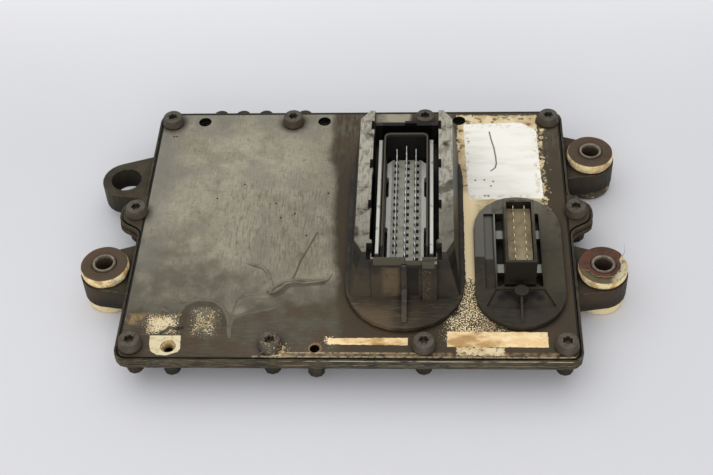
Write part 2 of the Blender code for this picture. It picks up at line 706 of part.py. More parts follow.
def base_bores():
    """The screw holes, threads, lug holes and board screw holes of the casting."""
    above = FLANGE_TOP + OVERLAP
    shank = clear_of(SCREW_SHANK_RADIUS)
    bores = [
        post("screw_bore", place, shank, SCREW_BORE_FLOOR, above, HIDDEN_ROUND) for place in screw_places()
    ]
    thread_floor = FLANGE_TOP - THREAD_DEPTH
    bores += [
        post("thread_bore", place, THREAD_RADIUS, thread_floor, above, HIDDEN_ROUND)
        for place in [*open_hole_places(), small_hole_place()]
    ]
    bores += [
        post("lug_bore", centre, LUG_HOLE_RADIUS, LUG_BOTTOM - OVERLAP, above, LARGE_ROUND)
        for centre in lug_places().values()
    ]
    board_shank = clear_of(BOARD_SCREW_RADIUS)
    floor = BOARD_TOP - BOARD_SCREW_LENGTH
    ledge = BOARD_LEDGE_HEIGHT + OVERLAP
    bores += [
        post("board_bore", place, board_shank, floor, ledge, HIDDEN_ROUND) for place in board_screw_places()
    ]
    return bores


def header_openings(inset):
    """The outline of each header's neck, or of the hole it passes through."""
    return [
        stadium(LARGE_X, LARGE_FLANGE_HALF_WIDTH, LARGE_FLANGE_FRONT, LARGE_FLANGE_REAR, inset),
        stadium(SMALL_X, SMALL_FLANGE_HALF_WIDTH, SMALL_FLANGE_FRONT, SMALL_FLANGE_REAR, inset),
    ]


def seal_inset():
    """How far the edge of a cover opening lies inside the header's flange."""
    return HEADER_NECK_INSET - HEADER_SEAL_WIDTH - 2.0 * CLEARANCE


def make_cover(materials):
    """The flat cover, with its header openings, screw holes and empty holes."""
    loops = [rim_outline(0.0), *header_openings(seal_inset())]
    loops += [circle(place, clear_of(SCREW_SHANK_RADIUS), HIDDEN_ROUND) for place in screw_places()]
    loops += [circle(place, OPEN_HOLE_RADIUS) for place in open_hole_places()]
    loops.append(circle(small_hole_place(), SMALL_HOLE_RADIUS))
    return finish(plate("cover_plate", loops, COVER_BOTTOM, COVER_TOP), materials["cover"])


def make_gasket(materials):
    """The flat gasket between flange and cover."""
    inner_x = BOARD_HALF_WIDTH + BOARD_EDGE_GAP
    inner_y = BOARD_HALF_DEPTH + BOARD_EDGE_GAP
    inner = rounded_rectangle(-inner_x, -inner_y, inner_x, inner_y, TUB_CORNER_RADIUS - TUB_WALL)
    loops = [rim_outline(-GASKET_INSET), inner]
    loops += [circle(place, clear_of(SCREW_SHANK_RADIUS), HIDDEN_ROUND) for place in screw_places()]
    threads = [*open_hole_places(), small_hole_place()]
    loops += [circle(place, clear_of(THREAD_RADIUS), HIDDEN_ROUND) for place in threads]
    gasket = plate("cover_gasket", loops, GASKET_BOTTOM, GASKET_BOTTOM + GASKET_THICKNESS)
    return finish(gasket, materials["gasket"])


def make_cover_screws(materials):
    """Ten cap screws with a six-lobe socket, standing on the cover."""
    seat = SCREW_SEAT
    top = seat + SCREW_HEAD_HEIGHT
    tip = seat - SCREW_LENGTH
    profile = [
        (0.0, top),
        (SCREW_HEAD_TOP_RADIUS, top),
        (SCREW_HEAD_TOP_RADIUS + SCREW_HEAD_EDGE, top - SCREW_HEAD_EDGE),
        (SCREW_HEAD_RADIUS, seat + SCREW_HEAD_EDGE),
        (SCREW_HEAD_RADIUS, seat),
        (SCREW_SHANK_RADIUS, seat),
        (SCREW_SHANK_RADIUS, tip),
        (0.0, tip),
    ]
    star = []
    for index in range(2 * SCREW_SOCKET_LOBES):
        radius = SCREW_SOCKET_WAIST if index % 2 else SCREW_SOCKET_RADIUS
        angle = math.pi * index / SCREW_SOCKET_LOBES
        star.append((radius * math.cos(angle), radius * math.sin(angle)))
    for number, place in enumerate(screw_places(), 1):
        screw = turned(f"cover_screw_{number}", profile, place, HEAD_ROUND)
        outline = [(place[0] + x, place[1] + y) for x, y in star]
        socket = plate(f"socket_{number}", [outline], top - SCREW_SOCKET_DEPTH, top + OVERLAP)
        combine(screw, socket, "DIFFERENCE")
        finish(screw, materials["screw"])


def make_bushes(materials):
    """A rubber bush and a steel sleeve in each lug that still has them."""
    top = FLANGE_TOP + CLEARANCE + BUSH_FLANGE
    bottom = LUG_BOTTOM - CLEARANCE - BUSH_FLANGE
    waist = LUG_HOLE_RADIUS - CLEARANCE
    inner = SLEEVE_RADIUS + CLEARANCE
    rubber = [
        (inner, top),
        (BUSH_RADIUS - BUSH_EDGE, top),
        (BUSH_RADIUS, top - BUSH_EDGE),
        (BUSH_RADIUS, FLANGE_TOP + CLEARANCE),
        (waist, FLANGE_TOP + CLEARANCE),
        (waist, LUG_BOTTOM - CLEARANCE),
        (BUSH_RADIUS, LUG_BOTTOM - CLEARANCE),
        (BUSH_RADIUS, bottom),
        (inner, bottom),
    ]
    steel = [
        (SLEEVE_BORE_RADIUS, top + SLEEVE_PROUD),
        (SLEEVE_RADIUS, top + SLEEVE_PROUD),
        (SLEEVE_RADIUS, bottom),
        (SLEEVE_BORE_RADIUS, bottom),
    ]
    for name, centre in lug_places().items():
        if name != EMPTY_LUG:
            finish(turned(name + "_bush", rubber, centre, LARGE_ROUND), materials["rubber"])
            finish(turned(name + "_sleeve", steel, centre, HEAD_ROUND), materials["steel"])


def large_blade_places():
    """Three columns of blades. The middle one starts half a pitch further back and holds one more."""
    first = LARGE_CARRIER_REAR - LARGE_FIRST_ROW_INSET
    limit = LARGE_CARRIER_FRONT + BLADE_END_MARGIN
    places = []
    for column in (-1, 0, 1):
        start = first + (BLADE_PITCH / 2.0 if column == 0 else 0.0)
        x = LARGE_X + column * LARGE_COLUMN_PITCH
        places += [(x, y) for y in places_along(start, BLADE_PITCH, limit)]
    return places


def small_blade_places():
    """Two columns of blades."""
    first = SMALL_SHROUD_REAR - SMALL_FIRST_ROW_INSET
    rows = places_along(first, BLADE_PITCH, SMALL_CARRIER_FRONT + BLADE_END_MARGIN)
    return [(SMALL_X + side * SMALL_COLUMN_PITCH / 2.0, y) for side in (-1, 1) for y in rows]


def add_blades(carrier, places, carrier_bottom, carrier_top, tip):
    """Joins the contact blades above a carrier and their solder tails below it."""
    half_thickness = BLADE_THICKNESS / 2.0
    half_width = BLADE_WIDTH / 2.0
    half_tail = TAIL_SIZE / 2.0
    blades = bmesh.new()
    for x, y in places:
        cube = bmesh.ops.create_cube(blades, size=1.0)["verts"]
        bottom = carrier_top - OVERLAP
        size = Vector((BLADE_THICKNESS, BLADE_WIDTH, tip - bottom))
        bmesh.ops.scale(blades, vec=size, verts=cube)
        bmesh.ops.translate(blades, vec=(x, y, (tip + bottom) / 2.0), verts=cube)
        for vertex in cube:
            if vertex.co.z > carrier_top:
                lean_x = (half_thickness - BLADE_TIP_CHAMFER) / half_thickness
                lean_y = (half_width - BLADE_TIP_CHAMFER) / half_width
                vertex.co.x = x + (vertex.co.x - x) * lean_x
                vertex.co.y = y + (vertex.co.y - y) * lean_y
    combine(carrier, mesh_object(carrier.name + "_blades", blades), "UNION")
    tails = [
        box(
            "tail",
            (x - half_tail, y - half_tail, TAIL_BOTTOM),
            (x + half_tail, y + half_tail, carrier_bottom + OVERLAP),
        )
        for x, y in places
    ]
    combine(carrier, joined(carrier.name + "_tails", tails), "UNION")


def make_large_header(materials):
    """The tall 55-way header: drafted block with two rails, front panel, thin shroud and guide walls."""
    flange = stadium(LARGE_X, LARGE_FLANGE_HALF_WIDTH, LARGE_FLANGE_FRONT, LARGE_FLANGE_REAR)
    housing = plate("connector_55_housing", [flange], HEADER_BOTTOM, HEADER_FLANGE_TOP)
    add_neck(housing, 0, large_stem_limits())
    add_block_and_panel(housing)
    cut_rails(housing)
    add_shroud(housing)
    left, front, right, rear = large_stem_limits()
    low = (left, front, NECK_BOTTOM - OVERLAP)
    slot = box("carrier_slot", low, (right, rear, HEADER_FLANGE_TOP + OVERLAP))
    combine(housing, slot, "DIFFERENCE")
    return finish(housing, materials["plastic"])


def panel_pad_limits():
    """The left and right sides of the raised pad on the front panel."""
    right = LARGE_X + PANEL_HALF_WIDTH - NUDGE
    return right - PANEL_PAD_WIDTH, right


def add_block_and_panel(housing):
    """Joins the drafted block and, at its front, the panel with its gusset and pad."""
    top = LARGE_TOP
    root = HEADER_FLANGE_TOP - OVERLAP
    high = chamfered(LARGE_HALF_TOP, LARGE_TOP_FRONT, LARGE_TOP_REAR, RAIL_CHAMFER_FRONT, RAIL_CHAMFER_REAR)
    low = chamfered(LARGE_HALF_FOOT, LARGE_FOOT_FRONT, LARGE_FOOT_REAR, OVERLAP, RAIL_CHAMFER_REAR + OVERLAP)
    combine(housing, hull("large_block", low, root, high, top), "UNION")
    left = LARGE_X - PANEL_HALF_WIDTH
    right = LARGE_X + PANEL_HALF_WIDTH
    behind = LARGE_TOP_FRONT + OVERLAP
    panel_low = rectangle(left, PANEL_FOOT_Y, right, behind)
    panel_high = rectangle(left, PANEL_TOP_Y, right, behind)
    combine(housing, hull("front_panel", panel_low, root, panel_high, top), "UNION")

    gusset_top = top - GUSSET_TOP_DROP
    gusset = [
        (PANEL_INNER_Y, root),
        (PANEL_FOOT_Y - GUSSET_REACH, root),
        (PANEL_FOOT_Y - GUSSET_REACH, HEADER_FLANGE_TOP + GUSSET_TOE_HEIGHT),
        (PANEL_FOOT_Y - GUSSET_WAIST_OUTSET, HEADER_FLANGE_TOP + GUSSET_WAIST_HEIGHT),
        (PANEL_TOP_Y - GUSSET_TOP_OUTSET, gusset_top),
        (PANEL_INNER_Y, gusset_top),
    ]
    rib = side_profile("gusset", gusset, LARGE_X, GUSSET_THICKNESS)
    pad_left, pad_right = panel_pad_limits()
    pad_front = PANEL_FOOT_Y - PANEL_PAD_PROUD
    pad_low = rectangle(pad_left, pad_front, pad_right, PANEL_INNER_Y)
    pad_high = rectangle(pad_left, pad_front + PANEL_PAD_LEAN, pad_right, PANEL_INNER_Y)
    pad = hull("panel_pad", pad_low, root, pad_high, top - PANEL_PAD_DROP)
    combine(housing, joined("panel_details", [rib, pad]), "UNION")


def cut_rails(housing):
    """Cuts the space between the rails, their notches and sloping ends, and lowers rear wall and panel."""
    top = LARGE_TOP
    inner = RAIL_INNER
    front_inner = PANEL_HALF_WIDTH - PANEL_SIDE_WALL
    step = LARGE_TOP_FRONT + RAIL_CHAMFER_FRONT
    right = [
        (front_inner, PANEL_INNER_Y),
        (front_inner, step),
        (inner, step + OVERLAP),
        (inner, REAR_WALL_Y),
    ]
    cavity = [(LARGE_X + x, y) for x, y in right] + [(LARGE_X - x, y) for x, y in reversed(right)]
    combine(housing, plate("large_cavity", [cavity], HEADER_FLANGE_TOP, top + OVERLAP), "DIFFERENCE")

    cuts = []
    for y in places_along(REAR_WALL_Y - RAIL_NOTCH_INSET, RAIL_NOTCH_PITCH, LARGE_TOP_FRONT):
        for side in (-1, 1):
            face = LARGE_X + side * inner
            low = (face - RAIL_NOTCH_WIDTH, y - RAIL_NOTCH_LENGTH / 2.0, top - RAIL_NOTCH_DEPTH)
            high = (face + RAIL_NOTCH_WIDTH, y + RAIL_NOTCH_LENGTH / 2.0, top + OVERLAP)
            cuts.append(box("rail_notch", low, high))
    half = inner - NUDGE
    wall = rectangle(LARGE_X - half, REAR_WALL_Y - OVERLAP, LARGE_X + half, LARGE_FOOT_REAR + OVERLAP)
    cuts.append(plate("rear_wall_cut", [wall], top - REAR_WALL_DROP, top + 2.0 * OVERLAP))
    dip_right = panel_pad_limits()[0]
    low = (dip_right - PANEL_DIP_WIDTH, PANEL_FOOT_Y, top - PANEL_DIP_DEPTH)
    cuts.append(box("panel_dip", low, (dip_right, PANEL_INNER_Y + OVERLAP, top + OVERLAP)))
    combine(housing, joined("large_notches", cuts), "DIFFERENCE")
    slope = [
        (LARGE_TOP_REAR - RAIL_CHAMFER_REAR, top + OVERLAP),
        (LARGE_TOP_REAR - RAIL_CHAMFER_REAR, top),
        (LARGE_FOOT_REAR + OVERLAP, top - RAIL_END_DROP),
        (LARGE_FOOT_REAR + OVERLAP, top + OVERLAP),
    ]
    combine(housing, side_profile("rail_ends", slope, LARGE_X, 2.0 * LARGE_HALF_FOOT), "DIFFERENCE")


def round_backed(half_width, front, rear, radius):
    """An outline round the large header's middle line with square front and rounded rear corners."""
    left = LARGE_X - half_width
    right = LARGE_X + half_width
    return rounded([(left, front, 0.0), (right, front, 0.0), (right, rear, radius), (left, rear, radius)])


def add_shroud(housing):
    """Joins the thin shroud round the blades, the guide walls beside it and the tab on the rear wall."""
    top = LARGE_TOP
    root = HEADER_FLANGE_TOP - OVERLAP
    front = PANEL_INNER_Y - OVERLAP / 2.0
    ring = round_backed(SHROUD_HALF_WIDTH, front, SHROUD_REAR, SHROUD_CORNER_RADIUS)
    walls = [plate("large_shroud", [ring], root, top - SHROUD_DROP)]
    inner = SHROUD_HALF_WIDTH + GUIDE_GAP
    outer = inner + GUIDE_THICKNESS
    for low_x, high_x in ((-outer, -inner), (inner, outer)):
        high = (LARGE_X + high_x, SHROUD_REAR - GUIDE_REAR_INSET, top - GUIDE_DROP)
        walls.append(box("guide_wall", (LARGE_X + low_x, front, root), high))
    tab_left = LARGE_X + REAR_TAB_OFFSET - REAR_TAB_WIDTH / 2.0
    tab_top = top - REAR_WALL_DROP + REAR_TAB_HEIGHT
    tab_low = (tab_left, REAR_WALL_Y + NUDGE, root)
    walls.append(box("rear_tab", tab_low, (tab_left + REAR_TAB_WIDTH, LARGE_TOP_REAR, tab_top)))
    combine(housing, joined("inner_walls", walls), "UNION")
    hollow = round_backed(
        SHROUD_HALF_WIDTH - SHROUD_WALL,
        PANEL_INNER_Y,
        SHROUD_REAR - SHROUD_WALL,
        SHROUD_CORNER_RADIUS - SHROUD_WALL,
    )
    combine(housing, plate("shroud_hollow", [hollow], HEADER_FLANGE_TOP, top + OVERLAP), "DIFFERENCE")


def add_neck(housing, number, core):
    """Joins the round-ended neck in the cover's opening, and a box round the core that reaches the board."""
    neck = header_openings(HEADER_NECK_INSET)[number]
    combine(housing, plate("neck", [neck], COVER_BOTTOM, HEADER_BOTTOM + OVERLAP), "UNION")
    left, front, right, rear = core
    wall = HEADER_CORE_WALL
    low = (left - wall, front - wall, NECK_BOTTOM)
    combine(housing, box("core", low, (right + wall, rear + wall, COVER_BOTTOM + OVERLAP)), "UNION")


def large_stem_limits():
    """The slot through the large header that the carrier's stem fills, with its clearance."""
    stem = LARGE_CARRIER_STEM_HALF_WIDTH + CLEARANCE
    return LARGE_X - stem, LARGE_CARRIER_FRONT + OVERLAP, LARGE_X + stem, LARGE_CARRIER_REAR - OVERLAP


def chamfered(half_width, front, rear, front_chamfer, rear_chamfer):
    """The outline of the large block at one height, narrowing at both ends."""
    front_width = half_width - front_chamfer / 2.0
    rear_width = half_width - rear_chamfer / 2.0
    right = [
        (front_width, front),
        (half_width, front + front_chamfer),
        (half_width, rear - rear_chamfer),
        (rear_width, rear),
    ]
    return [(LARGE_X + x, y) for x, y in right] + [(LARGE_X - x, y) for x, y in reversed(right)]


def make_large_carrier(materials):
    """The grey carrier with stepped sides that holds the 55 blades."""
    front = LARGE_CARRIER_FRONT
    rear = LARGE_CARRIER_REAR
    wide = SHROUD_HALF_WIDTH - SHROUD_WALL - CLEARANCE
    narrow = wide - LARGE_CARRIER_NARROWING
    right = [(wide - SHROUD_CORNER_RADIUS, rear), (wide, rear - SHROUD_CORNER_RADIUS)]
    here, there = wide, narrow
    for distance in LARGE_CARRIER_STEPS:
        right += [(here, rear - distance), (there, rear - distance - LARGE_CARRIER_STEP_LENGTH)]
        here, there = there, here
    right.append((here, front))
    outline = [(LARGE_X + x, y) for x, y in right] + [(LARGE_X - x, y) for x, y in reversed(right)]
    bottom = HEADER_FLANGE_TOP + CLEARANCE
    top = COVER_TOP + LARGE_CARRIER_TOP
    carrier = plate("pin_carrier_55", [outline], bottom, top)
    stem = LARGE_CARRIER_STEM_HALF_WIDTH
    stem_bottom = NECK_BOTTOM + CLEARANCE
    inset = OVERLAP + CLEARANCE
    low = (LARGE_X - stem, front + inset, stem_bottom)
    combine(carrier, box("carrier_stem", low, (LARGE_X + stem, rear - inset, bottom + OVERLAP)), "UNION")
    add_blades(carrier, large_blade_places(), stem_bottom, top, top + LARGE_BLADE_PROUD)
    return finish(carrier, materials["carrier"])


def make_small_header(materials):
    """The 16-way header: a shroud standing in a well, with ribs and a knob at its front."""
    flange = stadium(SMALL_X, SMALL_FLANGE_HALF_WIDTH, SMALL_FLANGE_FRONT, SMALL_FLANGE_REAR)
    housing = plate("connector_16_housing", [flange], HEADER_BOTTOM, HEADER_FLANGE_TOP)
    well = SMALL_WELL_HALF_WIDTH
    add_neck(housing, 1, (SMALL_X - well, SMALL_WELL_FRONT, SMALL_X + well, SMALL_WELL_REAR))
    add_well_rim(housing)
    add_knob(housing)
    low = (SMALL_X - well, SMALL_WELL_FRONT, PIT_FLOOR)
    cut = box("small_well", low, (SMALL_X + well, SMALL_WELL_REAR, small_rim_top() + 2.0 * OVERLAP))
    combine(housing, cut, "DIFFERENCE")
    add_small_shroud(housing)
    return finish(housing, materials["plastic"])


def small_rim_top():
    """The height of the well's thin rim."""
    return HEADER_FLANGE_TOP + SMALL_WELL_RIM_HEIGHT


def add_well_rim(housing):
    """Joins the block that the well is cut from, and cuts the side channel and the fan-shaped recess."""
    rim = SMALL_WELL_HALF_WIDTH + SMALL_WELL_RIM
    rim_front = SMALL_WELL_FRONT - SMALL_WELL_RIM
    rim_rear = SMALL_WELL_REAR - 2.0 * OVERLAP
    low = (SMALL_X - rim, rim_front, HEADER_FLANGE_TOP - OVERLAP)
    combine(housing, box("well_rim", low, (SMALL_X + rim, rim_rear, small_rim_top())), "UNION")
    side = SMALL_X - rim
    low = (side - SMALL_CHANNEL_WIDTH, rim_front, HEADER_FLANGE_TOP - SMALL_CHANNEL_DEPTH)
    channel = box("side_channel", low, (side, SMALL_WELL_REAR, small_rim_top() + OVERLAP))
    fan_front = SMALL_FLANGE_FRONT + SMALL_FAN_INSET
    fan = [
        (SMALL_X - SMALL_FAN_HALF_WIDTH, fan_front),
        (SMALL_X, fan_front - SMALL_FAN_BOW),
        (SMALL_X + SMALL_FAN_HALF_WIDTH, fan_front),
        (SMALL_X + rim, rim_front - SMALL_FAN_LEDGE),
        (SMALL_X - rim, rim_front - SMALL_FAN_LEDGE),
    ]
    fan_floor = HEADER_FLANGE_TOP - SMALL_FAN_DEPTH
    recess = plate("fan_recess", [fan], fan_floor, small_rim_top() + 2.0 * OVERLAP)
    combine(housing, joined("small_recesses", [channel, recess]), "DIFFERENCE")


def add_knob(housing):
    """Joins the round knob in the fan-shaped recess and the rib that runs forward from it."""
    base = HEADER_FLANGE_TOP - SMALL_FAN_DEPTH - OVERLAP
    knob_y = SMALL_FLANGE_FRONT + SMALL_KNOB_INSET
    knob_top = HEADER_FLANGE_TOP + SMALL_KNOB_HEIGHT
    combine(housing, post("knob", (SMALL_X, knob_y), SMALL_KNOB_RADIUS, base, knob_top), "UNION")
    rib_front = SMALL_FLANGE_FRONT + SMALL_TAIL_RIB_INSET
    rib_top = knob_top - SMALL_TAIL_RIB_DROP
    tail = [
        (knob_y, base),
        (rib_front, base),
        (rib_front, HEADER_FLANGE_TOP + SMALL_TAIL_RIB_PROUD),
        (knob_y - SMALL_KNOB_RADIUS, rib_top),
        (knob_y, rib_top),
    ]
    combine(housing, side_profile("tail_rib", tail, SMALL_X, SMALL_TAIL_RIB_WIDTH), "UNION")


def add_small_shroud(housing):
    """Joins the shroud and its bridges in the well, and hollows it for the insert."""
    half = SMALL_SHROUD_HALF_WIDTH
    wall = SMALL_SHROUD_WALL
    low = (SMALL_X - half, SMALL_SHROUD_FRONT, PIT_FLOOR - OVERLAP)
    combine(housing, box("small_shroud", low, (SMALL_X + half, SMALL_SHROUD_REAR, SMALL_TOP)), "UNION")
    near = half - OVERLAP
    far = SMALL_WELL_HALF_WIDTH + OVERLAP / 2.0
    bridges = []
    first = SMALL_SHROUD_REAR - SMALL_BRIDGE_INSET
    for y in places_along(first, SMALL_BRIDGE_PITCH, SMALL_SHROUD_FRONT + SMALL_BRIDGE_LENGTH):
        for low_x, high_x in ((-far, -near), (near, far)):
            low = (SMALL_X + low_x, y - SMALL_BRIDGE_LENGTH / 2.0, PIT_FLOOR - 2.0 * OVERLAP)
            high = (SMALL_X + high_x, y + SMALL_BRIDGE_LENGTH / 2.0, HEADER_FLANGE_TOP - OVERLAP)
            bridges.append(box("bridge", low, high))
    combine(housing, joined("bridges", bridges), "UNION")
    combine(housing, joined("corner_webs", corner_webs()), "UNION")
    front = SMALL_SHROUD_FRONT + wall
    rear = SMALL_SHROUD_REAR - wall
    low = (SMALL_X - half + wall, front, HEADER_FLANGE_TOP)
    hollow = box("small_hollow", low, (SMALL_X + half - wall, rear, SMALL_TOP + OVERLAP))
    combine(housing, hollow, "DIFFERENCE")
    foot = SMALL_CARRIER_FOOT_HALF_WIDTH + CLEARANCE
    low = (SMALL_X - foot, front + OVERLAP, NECK_BOTTOM - OVERLAP)
    slot = box("small_slot", low, (SMALL_X + foot, rear - OVERLAP, HEADER_FLANGE_TOP + OVERLAP))
    combine(housing, slot, "DIFFERENCE")


def corner_webs():
    """The two thin webs that run from the shroud's front corners to the well's."""
    top = HEADER_FLANGE_TOP - OVERLAP / 2.0
    webs = []
    for side in (-1.0, 1.0):
        near_x = SMALL_X + side * (SMALL_SHROUD_HALF_WIDTH - OVERLAP / 2.0)
        far_x = SMALL_X + side * (SMALL_WELL_HALF_WIDTH + OVERLAP / 2.0)
        start = Vector((near_x, SMALL_SHROUD_FRONT + OVERLAP / 2.0))
        end = Vector((far_x, SMALL_WELL_FRONT - OVERLAP / 2.0))
        across = (end - start).orthogonal().normalized() * SMALL_WEB_THICKNESS / 2.0
        outline = [tuple(point) for point in (start + across, end + across, end - across, start - across)]
        webs.append(plate("corner_web", [outline], top - SMALL_WEB_HEIGHT, top))
    return webs


def make_small_carrier(materials):
    """The tan insert that fills the small shroud and holds the 16 blades."""
    half = SMALL_SHROUD_HALF_WIDTH - SMALL_SHROUD_WALL - CLEARANCE
    front = SMALL_CARRIER_FRONT
    rear = SMALL_CARRIER_REAR
    bottom = HEADER_FLANGE_TOP + CLEARANCE
    top = SMALL_TOP - SMALL_CARRIER_DROP
    carrier = box("pin_carrier_16", (SMALL_X - half, front, bottom), (SMALL_X + half, rear, top))
    foot = SMALL_CARRIER_FOOT_HALF_WIDTH
    foot_bottom = NECK_BOTTOM + CLEARANCE
    low = (SMALL_X - foot, front + OVERLAP, foot_bottom)
    combine(carrier, box("carrier_foot", low, (SMALL_X + foot, rear - OVERLAP, bottom + OVERLAP)), "UNION")
    add_blades(carrier, small_blade_places(), foot_bottom, top, top + SMALL_BLADE_PROUD)
    return finish(carrier, materials["insert"])


def make_seals(materials):
    """A seal ring round each header's neck, inside the cover's opening."""
    outer = header_openings(seal_inset() + CLEARANCE)
    inner = header_openings(HEADER_NECK_INSET - CLEARANCE)
    for name, loops in zip(("connector_55_seal", "connector_16_seal"), zip(outer, inner)):
        finish(plate(name, list(loops), COVER_BOTTOM, COVER_TOP), materials["gasket"])


def board_screw_places():
    """Three small screws down each side of the board, the middle ones behind the small header's core."""
    x = BOARD_HALF_WIDTH - BOARD_SCREW_INSET
    end_y = BOARD_HALF_DEPTH - BOARD_SCREW_END_INSET
    middle_y = SMALL_WELL_REAR + HEADER_CORE_WALL + BOARD_SCREW_BEHIND_CORE
    return [(side * x, y) for side in (-1, 1) for y in (-end_y, middle_y, end_y)]


def make_board(materials):
    """The circuit board with holes for every tail and screw."""
    half_x = BOARD_HALF_WIDTH
    half_y = BOARD_HALF_DEPTH
    loops = [rounded_rectangle(-half_x, -half_y, half_x, half_y, TUB_CORNER_RADIUS - TUB_WALL)]
    half = TAIL_SIZE / 2.0 + CLEARANCE
    for x, y in large_blade_places() + small_blade_places():
        loops.append(rectangle(x - half, y - half, x + half, y + half))
    loops += [circle(place, clear_of(BOARD_SCREW_RADIUS), HIDDEN_ROUND) for place in board_screw_places()]
    return finish(plate("circuit_board", loops, BOARD_BOTTOM, BOARD_TOP), materials["board"])


def make_board_screws(materials):
    """The six pan-head screws that hold the board on its ledge."""
    seat = BOARD_TOP + CLEARANCE
    profile = [
        (0.0, seat + BOARD_SCREW_HEAD_HEIGHT),
        (BOARD_SCREW_HEAD_TOP_RADIUS, seat + BOARD_SCREW_HEAD_HEIGHT),
        (BOARD_SCREW_HEAD_RADIUS, seat + BOARD_SCREW_HEAD_HEIGHT / 2.0),
        (BOARD_SCREW_HEAD_RADIUS, seat),
        (BOARD_SCREW_RADIUS, seat),
        (BOARD_SCREW_RADIUS, seat - BOARD_SCREW_LENGTH),
        (0.0, seat - BOARD_SCREW_LENGTH),
    ]
    for number, place in enumerate(board_screw_places(), 1):
        finish(turned(f"board_screw_{number}", profile, place, HIDDEN_ROUND), materials["steel"])


def heat_pad_bottom():
    """The height of the pad's underside, below drivers that hang under the board."""
    return BOARD_BOTTOM - 2.0 * CLEARANCE - DRIVER_THICKNESS - HEAT_PAD_THICKNESS


def heat_pad_limits():
    """The left and right edges of the pad and half its length."""
    half_x = DRIVER_WIDTH / 2.0 + HEAT_PAD_MARGIN
    half_y = (DRIVER_COUNT - 1) * DRIVER_PITCH / 2.0 + DRIVER_LENGTH / 2.0 + HEAT_PAD_MARGIN
    return DRIVER_X - half_x, DRIVER_X + half_x, half_y


def bevelled(obj, width):
    """Gives a box narrow flat bevels."""
    bevel = obj.modifiers.new("edges", "BEVEL")
    bevel.width = width
    bevel.segments = 1
    return obj


def make_chips(materials):
    """The processor and the memory chip in front of it, on the board's upper side."""
    above = BOARD_TOP + CLEARANCE
    memory_y = PROCESSOR_Y - PROCESSOR_SIZE / 2.0 - MEMORY_GAP - MEMORY_LENGTH / 2.0
    chips = {
        "processor": (PROCESSOR_Y, PROCESSOR_SIZE, PROCESSOR_SIZE),
        "memory_chip": (memory_y, MEMORY_WIDTH, MEMORY_LENGTH),
    }
    for name, (y, width, length) in chips.items():
        low = (CHIP_X - width / 2.0, y - length / 2.0, above)
        chip = box(name, low, (CHIP_X + width / 2.0, y + length / 2.0, above + CHIP_THICKNESS))
        finish(bevelled(chip, CHIP_BEVEL), materials["chip"])


def make_power_parts(materials):
    """Capacitors, coils and power drivers below the board, and the pad under the drivers."""
    below = BOARD_BOTTOM - CLEARANCE
    can_bottom = below - CAPACITOR_HEIGHT
    can = [
        (0.0, below),
        (CAPACITOR_RADIUS, below),
        (CAPACITOR_RADIUS, can_bottom + CAPACITOR_EDGE),
        (CAPACITOR_RADIUS - CAPACITOR_EDGE, can_bottom),
        (0.0, can_bottom),
    ]
    for number in range(CAPACITOR_COUNT):
        x = DRIVER_X + CAPACITOR_DRIVER_GAP + number * CAPACITOR_PITCH
        place = (x, BOARD_HALF_DEPTH - CAPACITOR_REAR_INSET)
        finish(turned(f"capacitor_{number + 1}", can, place, SMALL_ROUND), materials["can"])
    for number in range(COIL_COUNT):
        x = BOARD_HALF_WIDTH - COIL_SIDE_INSET - (COIL_COUNT - 1 - number) * COIL_PITCH
        y = BOARD_HALF_DEPTH - COIL_REAR_INSET
        low = (x - COIL_SIZE / 2.0, y - COIL_SIZE / 2.0, below - COIL_HEIGHT)
        coil = box(f"coil_{number + 1}", low, (x + COIL_SIZE / 2.0, y + COIL_SIZE / 2.0, below))
        finish(bevelled(coil, COIL_BEVEL), materials["ferrite"])
    for number in range(DRIVER_COUNT):
        y = (number - (DRIVER_COUNT - 1) / 2.0) * DRIVER_PITCH
        low = (DRIVER_X - DRIVER_WIDTH / 2.0, y - DRIVER_LENGTH / 2.0, below - DRIVER_THICKNESS)
        high = (DRIVER_X + DRIVER_WIDTH / 2.0, y + DRIVER_LENGTH / 2.0, below)
        finish(box(f"power_driver_{number + 1}", low, high), materials["chip"])
    left, right, half_y = heat_pad_limits()
    bottom = heat_pad_bottom()
    pad = box("heat_pad", (left, -half_y, bottom), (right, half_y, bottom + HEAT_PAD_THICKNESS))
    finish(pad, materials["pad"])


def main():
    """Builds the whole unit."""
    clear_scene()
    materials = make_materials()
    make_base(materials)
    make_gasket(materials)
    make_cover(materials)
    make_cover_screws(materials)
    make_bushes(materials)
    make_large_header(materials)
    make_large_carrier(materials)
    make_small_header(materials)
    make_small_carrier(materials)
    make_seals(materials)
    make_board(materials)
    make_board_screws(materials)
    make_chips(materials)
    make_power_parts(materials)


main()
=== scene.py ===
"""Looks of an engine control unit that lies on a pale table, seen from above its front edge.

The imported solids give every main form. This script dresses them with finishes made of nodes, and stands
finer turned pieces in for the screws, bushes and sleeves. It adds what is too thin or too rough for a
solid: the casting's rim and the tops of its stubs, the blank label, the paper strips, the cream tab and
the dirt in its hole, the wrinkle and the dried flows of the cover's film, and the torn bush's skin.

Units are metres, and lengths are written as a count of MM. Places are in the frame's own coordinates:
+X to the right, +Y to the rear, +Z up, from the middle of the tub's flat underside.
"""

